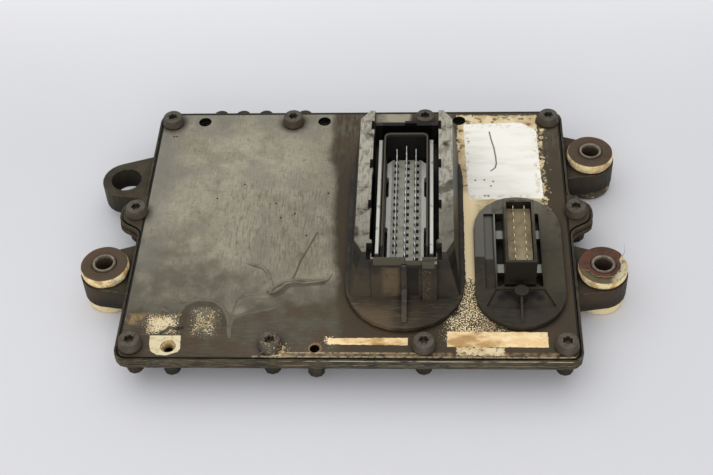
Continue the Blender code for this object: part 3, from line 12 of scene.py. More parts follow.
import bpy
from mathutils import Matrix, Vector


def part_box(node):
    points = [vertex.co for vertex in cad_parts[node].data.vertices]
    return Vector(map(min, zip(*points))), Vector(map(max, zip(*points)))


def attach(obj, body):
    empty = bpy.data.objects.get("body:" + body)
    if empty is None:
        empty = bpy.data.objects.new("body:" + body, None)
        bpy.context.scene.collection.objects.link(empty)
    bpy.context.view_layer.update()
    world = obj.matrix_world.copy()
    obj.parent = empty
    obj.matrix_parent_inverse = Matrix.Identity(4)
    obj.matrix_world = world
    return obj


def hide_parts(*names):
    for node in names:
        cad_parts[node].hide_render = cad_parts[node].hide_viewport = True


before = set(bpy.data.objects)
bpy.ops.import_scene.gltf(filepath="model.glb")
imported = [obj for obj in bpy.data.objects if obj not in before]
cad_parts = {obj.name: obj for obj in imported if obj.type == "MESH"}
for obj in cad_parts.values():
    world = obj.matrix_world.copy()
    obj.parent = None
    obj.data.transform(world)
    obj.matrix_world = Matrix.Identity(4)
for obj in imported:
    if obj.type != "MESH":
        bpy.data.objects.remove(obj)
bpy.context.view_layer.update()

import logging
import math
from dataclasses import dataclass, field
from enum import Enum
from typing import Iterable, Iterator, Sequence

import bmesh
import bpy
from mathutils import Matrix, Vector, noise

MM = 0.001
AXES = ((1.0, 0.0, 0.0), (0.0, 1.0, 0.0), (0.0, 0.0, 1.0))
BODY = "root"
LOG = logging.getLogger("engine_control_unit")

Point = tuple[float, float]
Mask = bpy.types.NodeSocket
Coat = tuple[str, Mask]
Level = tuple[float, Mask]
Shape = bmesh.types.BMesh


def middle(node: str) -> Point:
    """Where the middle of a CAD node lies, seen from above, in metres."""
    low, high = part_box(node)
    return ((low.x + high.x) / 2.0, (low.y + high.y) / 2.0)


# Places that the finishes and pieces share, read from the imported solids
COVER_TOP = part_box("cover_plate")[1].z
LARGE_X = middle("connector_55_housing")[0]
SMALL_X = middle("connector_16_housing")[0]
SCREW_NODES = [f"cover_screw_{number}" for number in range(1, 11)]


class Kind(str, Enum):
    """The kinds of shader node that the finishes use."""

    MATH = "ShaderNodeMath"
    VECTOR = "ShaderNodeVectorMath"
    MIX = "ShaderNodeMix"
    RANGE = "ShaderNodeMapRange"
    CURVE = "ShaderNodeFloatCurve"
    NOISE = "ShaderNodeTexNoise"
    CELLS = "ShaderNodeTexVoronoi"
    COORDINATE = "ShaderNodeTexCoord"
    GEOMETRY = "ShaderNodeNewGeometry"
    BUMP = "ShaderNodeBump"
    ROUND = "ShaderNodeBevel"
    SHELTER = "ShaderNodeAmbientOcclusion"
    SHADER = "ShaderNodeBsdfPrincipled"
    OUTPUT = "ShaderNodeOutputMaterial"


class BushState(Enum):
    """What has become of a rubber bush."""

    WHOLE = "whole"
    OILED = "oiled"
    TORN = "torn"


def linear(hex_colour: str) -> tuple[float, float, float, float]:
    """Turns an sRGB hex colour to the linear values that a node takes.

    Args:
        hex_colour: a colour such as "#8b8776".

    Returns:
        Linear red, green and blue, and an alpha of 1.
    """
    channels = [int(hex_colour[start : start + 2], 16) / 255.0 for start in (1, 3, 5)]
    turned = [c / 12.92 if c <= 0.04045 else ((c + 0.055) / 1.055) ** 2.4 for c in channels]
    return (turned[0], turned[1], turned[2], 1.0)


class Paintwork:
    """The node tree of one finish, and the patterns that the finishes share. Masks run from 0 to 1, and
    each size or place that a method takes is in millimetres."""

    def __init__(self, name: str, gloss: float) -> None:
        """Starts an empty node tree.

        Args:
            name: the material's name.
            gloss: how strongly it mirrors; 0.5 is a clean surface and less is dusty or greasy.
        """
        self.gloss = gloss
        self.made = bpy.data.materials.new(name)
        self.made.use_nodes = True
        self.tree = self.made.node_tree
        self.tree.nodes.clear()
        self.place = self.add(Kind.COORDINATE, output="Object")
        self.facing = self.add(Kind.GEOMETRY, output="Normal")
        self.x, self.y, self.z = (self.part(self.place, axis) for axis in AXES)

    def add(self, kind: Kind, inputs: dict | Sequence = (), output: int | str = 0, **settings) -> Mask:
        """Adds one node.

        Args:
            kind: which node.
            inputs: a value or another node's output for each input, by place or by name.
            output: the output that is wanted.
            settings: the node's own settings.

        Returns:
            The wanted output, or the first input of a node that has none.
        """
        node = self.tree.nodes.new(kind.value)
        for name, value in settings.items():
            setattr(node, name, value)
        pairs = inputs.items() if isinstance(inputs, dict) else enumerate(inputs)
        for key, value in pairs:
            if isinstance(value, bpy.types.NodeSocket):
                self.tree.links.new(value, node.inputs[key])
            elif value is not None:
                node.inputs[key].default_value = value
        return node.outputs[output] if node.outputs else node.inputs[0]

    def part(self, vector: Mask, axis: tuple[float, float, float]) -> Mask:
        """One part of a vector. A product keeps the shader smaller than a split, which first converts it."""
        return self.add(Kind.VECTOR, [vector, axis], "Value", operation="DOT_PRODUCT")

    def both(self, *masks: Mask | float) -> Mask:
        """The product of some masks.

        Args:
            masks: the masks, or plain numbers that weaken them.

        Returns:
            A mask that is 1 only where each of them is.
        """
        result = masks[0]
        for mask in masks[1:]:
            result = self.add(Kind.MATH, [result, mask], operation="MULTIPLY")
        return result

    def either(self, *masks: Mask) -> Mask:
        """Joins some masks.

        Args:
            masks: the masks.

        Returns:
            The highest of them at each place.
        """
        result = masks[0]
        for mask in masks[1:]:
            result = self.add(Kind.MATH, [result, mask], operation="MAXIMUM")
        return result

    def without(self, mask: Mask, taken: Mask) -> Mask:
        """A mask with another one taken out of it."""
        left = self.add(Kind.MATH, [1.0, taken], operation="SUBTRACT")
        return self.both(mask, left)

    def rise(self, value: Mask, start: float, end: float, most: float = 1.0) -> Mask:
        """A soft step, with its ends in the value's own unit.

        Args:
            value: what is measured.
            start: where the step begins.
            end: where it is complete; it may lie below start.
            most: the mask's highest value.

        Returns:
            A mask that is 0 at start and most at end.
        """
        if start < end:
            numbers = [value, start, end, 0.0, most]
        else:
            numbers = [value, end, start, most, 0.0]
        return self.add(Kind.RANGE, numbers, interpolation_type="SMOOTHSTEP")

    def slope(self, value: Mask, start: float, end: float, most: float = 1.0) -> Mask:
        """A soft step along a length: rise, from start to end in millimetres."""
        return self.rise(value, start * MM, end * MM, most)

    def apart(self, value: Mask, middle: float) -> Mask:
        """How far a value lies from a middle, on either side of it."""
        offset = self.add(Kind.MATH, [value, middle], operation="SUBTRACT")
        return self.add(Kind.MATH, [offset], operation="ABSOLUTE")

    def cloud(
        self,
        size: float,
        low: float,
        high: float,
        stretch: tuple[float, float, float] = (1.0, 1.0, 1.0),
        detail: float = 4.0,
        shift: float = 0.0,
        most: float = 1.0,
    ) -> Mask:
        """Soft patches of noise.

        Args:
            size: length of one patch.
            low: noise below this is 0.
            high: noise above this is 1.
            stretch: how many times longer a patch is along each axis.
            detail: how many finer layers it holds.
            shift: moves the pattern, so that two of one size differ.
            most: the mask's highest value.

        Returns:
            The mask.
        """
        across = tuple(1.0 / length for length in stretch)
        place = self.add(Kind.VECTOR, [self.place, across], operation="MULTIPLY")
        place = self.add(Kind.VECTOR, [place, (shift, shift, shift)], operation="ADD")
        inputs = {"Vector": place, "Scale": 1.0 / (size * MM), "Detail": detail, "Roughness": 0.6}
        return self.rise(self.add(Kind.NOISE, inputs), low, high, most)

    def specks(self, size: float, radius: float, keep: float = 1.0) -> Mask:
        """Small round spots.

        Args:
            size: mean distance from one spot to the next.
            radius: a spot's radius as a share of that distance.
            keep: how many of the spots are kept, as a share.

        Returns:
            The mask.
        """
        spot = self.add(Kind.CELLS, {"Vector": self.place, "Scale": 1.0 / (size * MM)}, "Distance")
        colour = self.part(spot.node.outputs["Color"], AXES[0])
        chosen = self.rise(colour, keep, keep - 0.01)
        return self.both(self.rise(spot, radius, radius * 0.5), chosen)

    def box(self, left: float, front: float, right: float, rear: float, blur: float) -> Mask:
        """An upright rectangle seen from above.

        Args:
            left: its left side.
            front: its front side.
            right: its right side.
            rear: its rear side.
            blur: width of the soft edge, which lies inside it.

        Returns:
            The mask.
        """
        centre = ((left + right) / 2.0 * MM, (front + rear) / 2.0 * MM, 0.0)
        half = ((right - left) / 2.0 * MM, (rear - front) / 2.0 * MM, 1.0)
        away = self.add(Kind.VECTOR, [self.place, centre], operation="SUBTRACT")
        away = self.add(Kind.VECTOR, [away], operation="ABSOLUTE")
        away = self.add(Kind.VECTOR, [away, half], operation="SUBTRACT")
        outside = self.either(self.part(away, AXES[0]), self.part(away, AXES[1]))
        return self.rise(outside, 0.0, -blur * MM)

    def flat(self) -> Mask:
        """The place, pressed flat."""
        return self.add(Kind.VECTOR, [self.place, (1.0, 1.0, 0.0)], operation="MULTIPLY")

    def disc(self, x: float, y: float, radius: float, blur: float) -> Mask:
        """A round patch seen from above.

        Args:
            x: its middle.
            y: its middle.
            radius: its radius.
            blur: width of the soft edge, which lies inside it.

        Returns:
            The mask.
        """
        flat = self.flat()
        away = self.add(Kind.VECTOR, [flat, (x * MM, y * MM, 0.0)], "Value", operation="DISTANCE")
        return self.rise(away, radius * MM, (radius - blur) * MM)

    def distance_to(self, points: Sequence[Point]) -> Mask:
        """How far away, in metres, a line through some points lies, seen from above.

        Args:
            points: the line's corners in millimetres.

        Returns:
            The distance.
        """
        flat = self.flat()
        nearest = None
        for first, last in zip(points, points[1:]):
            start = Vector((first[0] * MM, first[1] * MM, 0.0))
            along = Vector((last[0] * MM, last[1] * MM, 0.0)) - start
            away = self.add(Kind.VECTOR, [flat, tuple(start)], operation="SUBTRACT")
            scaled = tuple(along / along.length_squared)
            share = self.add(Kind.VECTOR, [away, scaled], "Value", operation="DOT_PRODUCT")
            share = self.add(Kind.MATH, [share, 0.0], operation="ADD", use_clamp=True)
            foot = self.add(Kind.VECTOR, {0: tuple(along), "Scale": share}, operation="SCALE")
            gap = self.add(Kind.VECTOR, [away, foot], "Value", operation="DISTANCE")
            nearest = gap if nearest is None else self.add(Kind.MATH, [nearest, gap], operation="MINIMUM")
        return nearest

    def line(self, points: Sequence[Point], half_width: float, blur: float) -> Mask:
        """A line through some points, all in millimetres, with a soft edge."""
        return self.rise(self.distance_to(points), (half_width + blur) * MM, half_width * MM)

    def shore(self, points: Sequence[Point], along: Mask, across: Mask, blur: float, wobble: float) -> Mask:
        """All that lies below a wandering border.

        Args:
            points: the border as (place along it, place across it), in millimetres.
            along: the coordinate along the border.
            across: the coordinate across it.
            blur: width of the soft edge in millimetres.
            wobble: how far the border wanders, in millimetres.

        Returns:
            A mask that is 1 where across is below the border.
        """
        first, last = points[0][0] * MM, points[-1][0] * MM
        lowest = min(point[1] for point in points) * MM - MM
        highest = max(point[1] for point in points) * MM + MM
        share = self.add(Kind.RANGE, [along, first, last, 0.0, 1.0])
        curve = self.add(Kind.CURVE, {"Value": share}).node
        made = curve.mapping.curves[0]
        width, height = last - first, highest - lowest
        shares = [((x * MM - first) / width, (y * MM - lowest) / height) for x, y in points]
        made.points[0].location, made.points[1].location = shares[0], shares[-1]
        for place in shares[1:-1]:
            made.points.new(*place)
        curve.mapping.update()
        border = self.add(Kind.RANGE, [curve.outputs[0], 0.0, 1.0, lowest, highest])
        ripple = self.add(Kind.NOISE, {"Vector": self.place, "Scale": 120.0, "Detail": 3.0})
        ripple = self.add(Kind.RANGE, [ripple, 0.3, 0.7, -wobble * MM, wobble * MM])
        border = self.add(Kind.MATH, [border, ripple], operation="ADD")
        gap = self.add(Kind.MATH, [across, border], operation="SUBTRACT")
        return self.rise(gap, blur * MM, -blur * MM)

    def crumbled(self, core: Mask, size: float, grip: float, detail: float = 5.0) -> Mask:
        """A layer that has broken up into crumbs towards its edge.

        Args:
            core: where the layer still lies, fading outwards.
            size: length of a crumb.
            grip: how much of the core is whole; below 0 even its middle is broken.
            detail: how many finer sizes of crumb there are.

        Returns:
            The mask.
        """
        inputs = {"Vector": self.place, "Scale": 1.0 / (size * MM), "Detail": detail, "Roughness": 0.65}
        crumbs = self.add(Kind.RANGE, [self.add(Kind.NOISE, inputs), 0.3, 0.7, 0.0, 1.0])
        held = self.add(Kind.MATH, [core, 1.0 + grip], operation="MULTIPLY")
        summed = self.add(Kind.MATH, [held, crumbs], operation="ADD")
        return self.both(self.rise(summed, 0.97, 1.12), self.rise(core, 0.0, 0.06))

    def towards(self, axis: Sequence[float], start: float, end: float, most: float = 1.0) -> Mask:
        """Where the surface faces along an axis, by the cosine of the angle between them."""
        return self.rise(self.part(self.facing, axis), start, end, most)

    def upward(self, start: float = 0.5, end: float = 0.9) -> Mask:
        """Where the surface faces up."""
        return self.towards(AXES[2], start, end)

    def worn_edges(self, width: float) -> Mask:
        """The corners of a solid.

        Args:
            width: how wide they are, on each side.

        Returns:
            The mask.
        """
        rounded = self.add(Kind.ROUND, {"Radius": width * MM}, samples=4)
        turn = self.add(Kind.VECTOR, [rounded, self.facing], "Value", operation="DOT_PRODUCT")
        return self.rise(turn, 0.985, 0.86)

    def corners(self, reach: float, start: float = 0.75, end: float = 0.25) -> Mask:
        """Sheltered corners, for a reach in millimetres: where dirt stays and shade falls, by ambient
        occlusion.
        """
        shelter = self.add(Kind.SHELTER, {"Distance": reach * MM}, "AO", samples=6)
        return self.rise(shelter, start, end)

    def paint(self, base: str, coats: Iterable[Coat]) -> Mask:
        """Lays colours over each other.

        Args:
            base: the lowest colour, as a hex value.
            coats: each further colour and where it lies.

        Returns:
            The colour.
        """
        below = linear(base)
        for colour, mask in coats:
            inputs = {0: mask, 6: below, 7: linear(colour)}
            below = self.add(Kind.MIX, inputs, 2, data_type="RGBA")
        return below

    def levels(self, base: float, coats: Sequence[Level]) -> Mask:
        """Lays numbers over each other, as paint does with colours.

        Args:
            base: the lowest number.
            coats: each further number and where it lies.

        Returns:
            The number.
        """
        below = base
        for number, mask in coats:
            below = self.add(Kind.MIX, {0: mask, 2: below, 3: number}, data_type="FLOAT")
        return below

    def grained(self, height: float, size: float) -> Mask:
        """The shading normal of a surface whose only relief is an even grain."""
        return self.relief(0.0, [(height, self.cloud(size, 0.3, 0.7))])

    def relief(self, edge: float, heights: Sequence[Level]) -> Mask:
        """The shading normal of a surface with soft edges and fine relief.

        Args:
            edge: radius of the solid's corners in millimetres, or 0.
            heights: each relief's height in millimetres and its mask.

        Returns:
            The normal.
        """
        normal = self.add(Kind.ROUND, {"Radius": edge * MM}, samples=4) if edge else self.facing
        total = None
        for height, mask in heights:
            step = self.both(mask, height * MM)
            total = step if total is None else self.add(Kind.MATH, [total, step], operation="ADD")
        return self.add(Kind.BUMP, {"Height": total, "Distance": 1.0, "Normal": normal})

    def close(self, colour: Mask, roughness: Mask | float, normal: Mask, **sockets) -> bpy.types.Material:
        """Ends the tree with its shader.

        Args:
            colour: the base colour.
            roughness: the roughness.
            normal: the shading normal.
            sockets: further values of the shader, with _ for each space in a name.

        Returns:
            The finished material.
        """
        inputs = {"Base Color": colour, "Roughness": roughness, "Normal": normal}
        inputs["Specular IOR Level"] = self.gloss
        inputs.update({name.replace("_", " "): value for name, value in sockets.items()})
        shader = self.add(Kind.SHADER, inputs)
        self.add(Kind.OUTPUT, [shader])
        return self.made


@dataclass(frozen=True)
class Finish:
    """A finish. Its material is made once, under its name."""

    name: str
    gloss: float = field(default=0.22, kw_only=True)

    def mix(self, work: Paintwork) -> bpy.types.Material:
        """Builds the nodes. Each finish has its own."""
        raise NotImplementedError

    def material(self) -> bpy.types.Material:
        """The finish's material."""
        return bpy.data.materials.get(self.name) or self.mix(Paintwork(self.name, self.gloss))


@dataclass(frozen=True)
class DieCastAluminium(Finish):
    """Aluminium poured under pressure: a fine matt grain, soft corners, and years of oily road dirt."""

    name: str = "die_cast_aluminium"
    base: str = "#322e25"
    brown: str = "#403324"
    dust: str = "#474130"
    streak: str = "#59523f"
    bare: str = "#8a8374"
    worn: str = "#b8ab8c"
    black: str = "#14110e"
    grain: float = 0.45
    corner: float = 0.9

    def mix(self, work: Paintwork) -> bpy.types.Material:
        """Builds the nodes.

        Args:
            work: the node tree.

        Returns:
            The material.
        """
        dust = work.both(work.upward(), work.cloud(14, 0.40, 0.65))
        brown = work.cloud(22, 0.45, 0.62, shift=3.0)
        wear = work.both(work.worn_edges(0.5), work.cloud(5, 0.46, 0.60, shift=7.0))
        # Sheltered corners painted black: dirt, and painted shade.
        dirt = work.corners(5.0)
        streaks = work.cloud(1.2, 0.44, 0.60, stretch=(6.0, 1.0, 1.0), shift=8.0, most=0.75)
        streaks = work.both(streaks, work.slope(work.y, -87, -90))
        line = work.box(*FRONT_EDGE_RUB, 0.25)
        gaps = work.cloud(2, 0.40, 0.56, stretch=(5.0, 1.0, 1.0), shift=19.0)
        line = work.both(line, gaps, work.upward(0.2, 0.5))
        coats = [(self.brown, brown), (self.dust, dust), (self.streak, streaks), (self.black, dirt)]
        # The tub below the flange is painted darker towards its bottom: painted shade under the flange.
        coats += [(self.bare, wear), (self.worn, line), (self.black, work.slope(work.z, 15.0, 8.0, 0.55))]
        grain = work.cloud(self.grain, 0.25, 0.75, detail=2.0)
        lumps = work.cloud(3.5, 0.3, 0.7)
        roughness = work.levels(0.58, [(0.72, dust), (0.42, wear)])
        normal = work.relief(self.corner, [(0.035, grain), (0.12, lumps)])
        return work.close(work.paint(self.base, coats), roughness, normal, Metallic=0.12)


@dataclass(frozen=True)
class FilmedSheet(Finish):
    """A rolled aluminium cover under a film of old lacquer and dirt: streaked along Y, lighter at the rear
    left, brown towards the headers and the front, with cream paint that has crumbled away in places."""

    name: str = "filmed_sheet_aluminium"
    film: str = "#8b8572"
    pale: str = "#a8a18c"
    dull: str = "#6c6656"
    shade: str = "#575244"
    smoke: str = "#77746a"
    silt: str = "#504b3d"
    grime_and_shadow: str = "#41382a"
    brown: str = "#4a3a26"
    black: str = "#14110d"
    cream: str = "#e2d1aa"
    bright: str = "#fbe6b8"
    tan: str = "#b3935f"
    bare: str = "#b3a78a"
    rust: str = "#8d6944"

    def mix(self, work: Paintwork) -> bpy.types.Material:
        """Builds the nodes.

        Args:
            work: the node tree.

        Returns:
            The material.
        """
        front = work.shore(FRONT_BORDER, work.x, work.y, 5.0, 3.5)
        cream = self.cream_layer(work)
        colour = work.paint(self.film, self.coats(work, front, cream))
        roughness = work.levels(0.50, [(0.40, front), (0.85, cream)])
        heights = [
            (0.03, work.cloud(1.2, 0.3, 0.7)),
            (0.015, work.cloud(0.9, 0.50, 0.68, stretch=(1.0, 14.0, 1.0), detail=3.0)),
            (0.05, work.cloud(2.0, 0.35, 0.65, shift=8.0)),
        ]
        return work.close(colour, roughness, work.relief(0.35, heights), Metallic=0.08)

    def coats(self, work: Paintwork, front: Mask, cream: Mask) -> Iterator[Coat]:
        """The cover's coats, each one made just before it is laid, which keeps the shader small.

        Args:
            work: the node tree.
            front: the dirty front part.
            cream: where the cream paint still lies.

        Yields:
            A colour and where it lies.
        """
        yield self.pale, work.both(work.box(*PALE_REAR_LEFT, 60.0), 0.75)
        yield self.pale, work.cloud(34, 0.46, 0.66, shift=5.0, most=0.55)
        yield self.dull, work.cloud(16, 0.42, 0.66, most=0.5)
        yield self.pale, work.cloud(0.9, 0.50, 0.68, stretch=(1.0, 7.0, 1.0), detail=3.0, most=0.36)
        weave = work.cloud(0.7, 0.52, 0.70, stretch=(1.0, 5.0, 1.0), detail=3.0, shift=2.0, most=0.42)
        yield self.dull, weave
        yield self.dull, work.cloud(0.8, 0.50, 0.66, stretch=(5.0, 1.0, 1.0), shift=31.0, most=0.32)
        thready = work.box(*THREADY_MIDDLE, 25.0)
        threads = work.cloud(1.0, 0.50, 0.62, stretch=(1.0, 9.0, 1.0), detail=2.0, shift=35.0, most=0.45)
        yield self.shade, work.both(thready, threads)
        yield self.grime_and_shadow, work.cloud(2.6, 0.56, 0.74, stretch=(1.0, 1.6, 1.0), shift=33.0, most=0.40)
        yield self.smoke, work.cloud(22, 0.48, 0.66, shift=37.0, most=0.45)
        uneven = work.cloud(11, 0.30, 0.60, shift=23.0, most=0.5)
        uneven = work.add(Kind.MATH, [uneven, 0.35], operation="ADD")
        yield self.shade, work.both(work.shore(LEFT_BORDER, work.x, work.y, 17.0, 8.0), uneven)
        yield self.smoke, work.both(work.box(*SMOKY_LEFT, 22.0), work.cloud(14, 0.3, 0.6), 0.8)
        yield self.smoke, work.both(work.box(*SMOKY_REAR, 16.0), work.cloud(12, 0.36, 0.6), 0.6)
        yield self.shade, work.both(work.shore(WRINKLE_BORDER, work.x, work.y, 5.0, 3.0), 0.7)
        yield self.silt, front
        yield self.grime_and_shadow, work.both(front, work.slope(work.x, -40, -80))
        smears = work.cloud(7, 0.46, 0.62, stretch=(2.5, 1.0, 1.0), shift=43.0)
        yield self.shade, work.both(front, smears, 0.45)
        wiped = work.cloud(1.0, 0.48, 0.64, stretch=(9.0, 1.0, 1.0), detail=2.0, shift=45.0)
        yield self.dull, work.both(front, wiped, 0.24)
        # The right part round the headers and the band beside the large header: grime, and painted shade.
        side = work.shore(BAND_BORDER, work.y, self.mirrored(work), 2.6, 0.8)
        side = work.either(side, work.disc(*BAND_LOBE, 9.0))
        side = work.either(side, work.box(*HEADER_SIDE, 0.5))
        yield self.grime_and_shadow, side
        rear = work.slope(work.y, 30, 90, 0.6)
        yield self.dull, work.both(side, rear, work.cloud(2, 0.38, 0.58, stretch=(1.0, 5.0, 1.0), shift=14.0))
        yield self.pale, work.both(work.box(*PALE_BEHIND_SHROUD, 2.5), work.slope(work.z, 23, 24), 0.9)
        patches = work.cloud(12, 0.42, 0.62, shift=1.0, most=0.6)
        yield self.brown, work.both(work.either(side, front), patches)
        around = [work.disc(x, y, 11.0, 5.5) for x, y in screw_centres()]
        yield self.grime_and_shadow, work.both(work.either(*around), work.cloud(7, 0.25, 0.5, most=0.8))
        yield self.grime_and_shadow, work.both(work.line(HORSESHOE, 1.5, 0.8), 0.8)
        yield self.tan, work.both(work.line(RUST_STREAK, 1.0, 4.5), work.cloud(5, 0.35, 0.65, most=0.6))
        yield self.black, work.specks(3.2, 0.10, 0.18)
        # Sheltered corners round the screws, headers and ridges painted black: painted shade and dirt.
        yield self.black, work.corners(4.0, 0.8, 0.3)
        yield self.cream, cream
        yield self.tan, work.both(cream, work.cloud(9, 0.40, 0.60, shift=4.0, most=0.6))
        yield self.brown, work.both(cream, work.cloud(4, 0.54, 0.64, shift=11.0, most=0.8))
        yield self.bright, work.both(cream, work.box(*CLEAN_CREAM, 6.0))
        patch = work.box(*SPECKLED_PATCH, 4.0)
        yield self.silt, work.both(patch, work.cloud(2.2, 0.40, 0.60, shift=21.0, most=0.75))
        yield self.black, work.both(work.line(HOOK, 0.8, 0.5), 0.85)
        yield self.grime_and_shadow, work.both(work.line(SCRATCH, 0.3, 0.55), 0.7)
        # A painted shadow under the wrinkle.
        yield self.grime_and_shadow, work.both(work.line(WRINKLE_SHADOW, 0.8, 1.3), 0.7)
        yield self.rust, work.both(work.disc(*RUSTED_HOLE, 0.6), work.cloud(2, 0.34, 0.52, shift=41.0))
        worn = work.cloud(3.0, 0.38, 0.56)
        yield self.tan, work.both(work.box(*FRONT_TAN, 1.0), work.cloud(4, 0.40, 0.60, most=0.45))
        yield self.bare, work.both(work.box(*FRONT_BARE, 0.4), worn)
        yield self.bare, work.both(work.box(*FRONT_SCRATCH, 0.3), worn)
        for x, y in PINHOLES:
            yield self.black, work.disc(x, y, 0.75, 0.35)
        inside = work.box(*PLATE_FACE, 0.3)
        yield self.grime_and_shadow, work.without(work.slope(work.z, 0.0, 1.0), work.box(*PLATE_EDGE, 0.3))
        # A black line on the top's outer band, at the sides and rear: painted shadow of the gap round the
        # plate.
        painted_gap_shadow = work.without(work.box(*PLATE_EDGE, 0.3), inside)
        yield self.black, work.both(painted_gap_shadow, work.slope(work.y, -91, -89))
        # Each face that doesn't face up, the plate's sides and its holes' walls, is painted black as shade.
        yield self.black, work.upward(0.7, 0.4)

    def mirrored(self, work: Paintwork) -> Mask:
        """X with its sign turned, so that a border's far side is its right one."""
        return work.add(Kind.MATH, [work.x, -1.0], operation="MULTIPLY")

    def cream_layer(self, work: Paintwork) -> Mask:
        """The cream paint that is left on the cover.

        Args:
            work: the node tree.

        Returns:
            The mask.
        """
        clumps = work.cloud(8, 0.22, 0.50, shift=17.0)
        fading = work.slope(work.y, -54.0, -16.0)
        parts = [
            work.crumbled(work.box(*CREAM_PATCH, 7.0), 0.75, -0.20, 1.5),
            work.crumbled(work.box(*SPECKLED_PATCH, 7.0), 0.75, -0.48, 1.5),
            work.crumbled(work.box(*LABEL_RESIDUE, 4.5), 4.5, 0.35),
            work.crumbled(work.box(*EDGE_RESIDUE, 6.0), 2.6, -0.42),
            work.crumbled(work.both(work.box(*GAP_RESIDUE, 1.6), fading), 1.3, 0.9),
            work.crumbled(work.both(work.box(*GAP_CRUMBS, 9.0), clumps), 0.75, -0.52, 1.5),
            work.crumbled(work.box(*STRIP_FLAKES, 2.6), 1.6, -0.15),
            work.crumbled(work.disc(*SCREW_FLAKES, 7.0), 0.9, -0.45, 1.0),
            work.crumbled(work.disc(*HOLE_FLAKES, 4.0), 0.9, -0.40, 1.0),
        ]
        return work.either(*parts)


# Marks on the case, in millimetres: borders and lines as points, patches as their left, front, right and
# rear, and round marks as their middle and radius
FRONT_EDGE_RUB = (-34.0, -92.6, 112.0, -91.7)
PALE_REAR_LEFT = (-130.0, -10.0, 0.0, 110.0)
THREADY_MIDDLE = (-85.0, -45.0, 12.0, 50.0)
SMOKY_LEFT = (-130.0, -40.0, -92.0, 100.0)
SMOKY_REAR = (-130.0, 66.0, 10.0, 100.0)
HEADER_SIDE = (-2.0, -95.0, 125.0, 100.0)
PALE_BEHIND_SHROUD = (9.0, 78.0, 31.0, 96.0)
FRONT_TAN = (-34.0, -90.4, 112.0, -86.4)
FRONT_BARE = (-47.0, -90.5, 113.0, -89.3)
FRONT_SCRATCH = (-30.0, -87.8, 40.0, -87.0)
PLATE_FACE = (-114.2, -90.0, 114.2, 90.0)
PLATE_EDGE = (-115.6, -91.0, 115.6, 91.0)
BAND_LOBE = (-6.5, 58.0, 13.0)
RUSTED_HOLE = (-15.7, -84.4, 3.7)
SCREW_FLAKES = (-35.0, -87.0, 9.5)
HOLE_FLAKES = (-9.0, -80.0, 5.0)
FRONT_BORDER = [
    (-118.0, -62.0), (-104.9, -61.6), (-97.1, -62.8), (-80.0, -62.2), (-60.8, -63.9), (-47.8, -61.1),
    (-36.9, -56.8), (-26.0, -56.0), (-10.0, -54.0), (20.0, -60.0), (120.0, -72.0),
]
LEFT_BORDER = [(-118.0, -8.0), (-95.0, -16.0), (-60.0, -34.0), (-40.0, -50.0), (0.0, -56.0), (120.0, -60.0)]
WRINKLE_BORDER = [
    (-118.0, -70.0), (-62.0, -66.0), (-44.0, -52.0), (-34.0, -45.0), (-20.0, -43.5), (0.0, -42.0),
    (120.0, -60.0),
]
HORSESHOE = [
    (-87.0, -73.6), (-83.8, -70.5), (-84.2, -63.0), (-82.2, -58.4), (-77.0, -55.6), (-70.9, -56.2),
    (-66.6, -60.0), (-64.4, -64.5), (-62.6, -69.0),
]
HOOK = [(-94.2, -74.9), (-91.6, -73.4), (-90.4, -71.4), (-87.1, -72.3), (-84.0, -71.8)]
RUST_STREAK = [(-115.0, -66.5), (-104.5, -66.0)]
BAND_BORDER = [
    (-60.0, 4.0), (-48.0, 6.5), (-40.0, 6.8), (-23.1, 9.1), (-9.7, 9.8), (11.2, 11.3), (29.9, 11.3),
    (45.1, 12.1), (52.1, 15.3), (67.9, 14.2), (79.0, 14.3), (95.0, 14.6),
]
SCRATCH = [(-19.2, -5.6), (-23.3, -16.5), (-27.0, -26.4), (-28.7, -34.3), (-30.2, -39.0)]
WRINKLE = [
    (-54.8, -27.8), (-50.8, -29.1), (-46.2, -30.8), (-43.5, -34.3), (-41.6, -39.4), (-40.4, -45.2),
    (-41.3, -48.6), (-38.4, -47.6), (-36.3, -45.2), (-33.7, -42.0), (-28.9, -40.7), (-24.5, -41.6),
    (-18.8, -41.0), (-12.1, -39.4), (-9.5, -35.1),
]
WRINKLE_SHADOW = [
    (-41.8, -47.9), (-38.5, -49.7), (-35.1, -47.3), (-31.8, -43.1), (-26.4, -42.5), (-21.0, -42.1),
    (-13.9, -41.3),
]
WRINKLE_FOLD = [
    (-41.2, -46.4), (-38.4, -43.6), (-34.3, -40.4), (-27.6, -39.3), (-22.7, -39.9), (-14.5, -38.9),
]
FLOW_RIDGES = [
    [(-92.8, -46.3), (-90.1, -51.6), (-86.4, -55.4), (-81.5, -53.6), (-76.9, -52.8), (-70.4, -53.4),
     (-65.6, -56.4), (-62.2, -62.0), (-60.6, -67.8), (-60.0, -73.7), (-59.6, -78.0)],
    [(-59.1, -78.4), (-59.9, -71.2), (-58.8, -65.2), (-53.4, -62.4), (-47.8, -61.1), (-39.5, -58.9),
     (-36.9, -55.5), (-38.9, -54.0)],
    [(-59.2, -61.5), (-57.7, -52.8), (-53.7, -49.6), (-47.0, -49.0), (-41.3, -49.2)],
    [(-57.7, -57.8), (-55.1, -55.3), (-49.6, -52.8), (-42.9, -52.1)],
    [(-107.7, -52.9), (-102.9, -56.0), (-96.3, -54.8), (-90.6, -54.1), (-86.1, -56.0)],
    [(-102.5, -58.5), (-95.7, -59.1), (-91.6, -61.6)],
]
RUSTED_SCREW = (-38.0, -83.0)
PINHOLES = [
    (-107.0, 71.4), (-105.4, 71.5), (-43.3, 16.6), (-39.9, 5.8), (-25.0, -7.6), (-32.3, 8.9),
    (-61.9, 31.7), (-76.2, 20.7), (-14.8, 24.5),
]
CREAM_PATCH = (-105.5, -79.0, -83.5, -60.0)
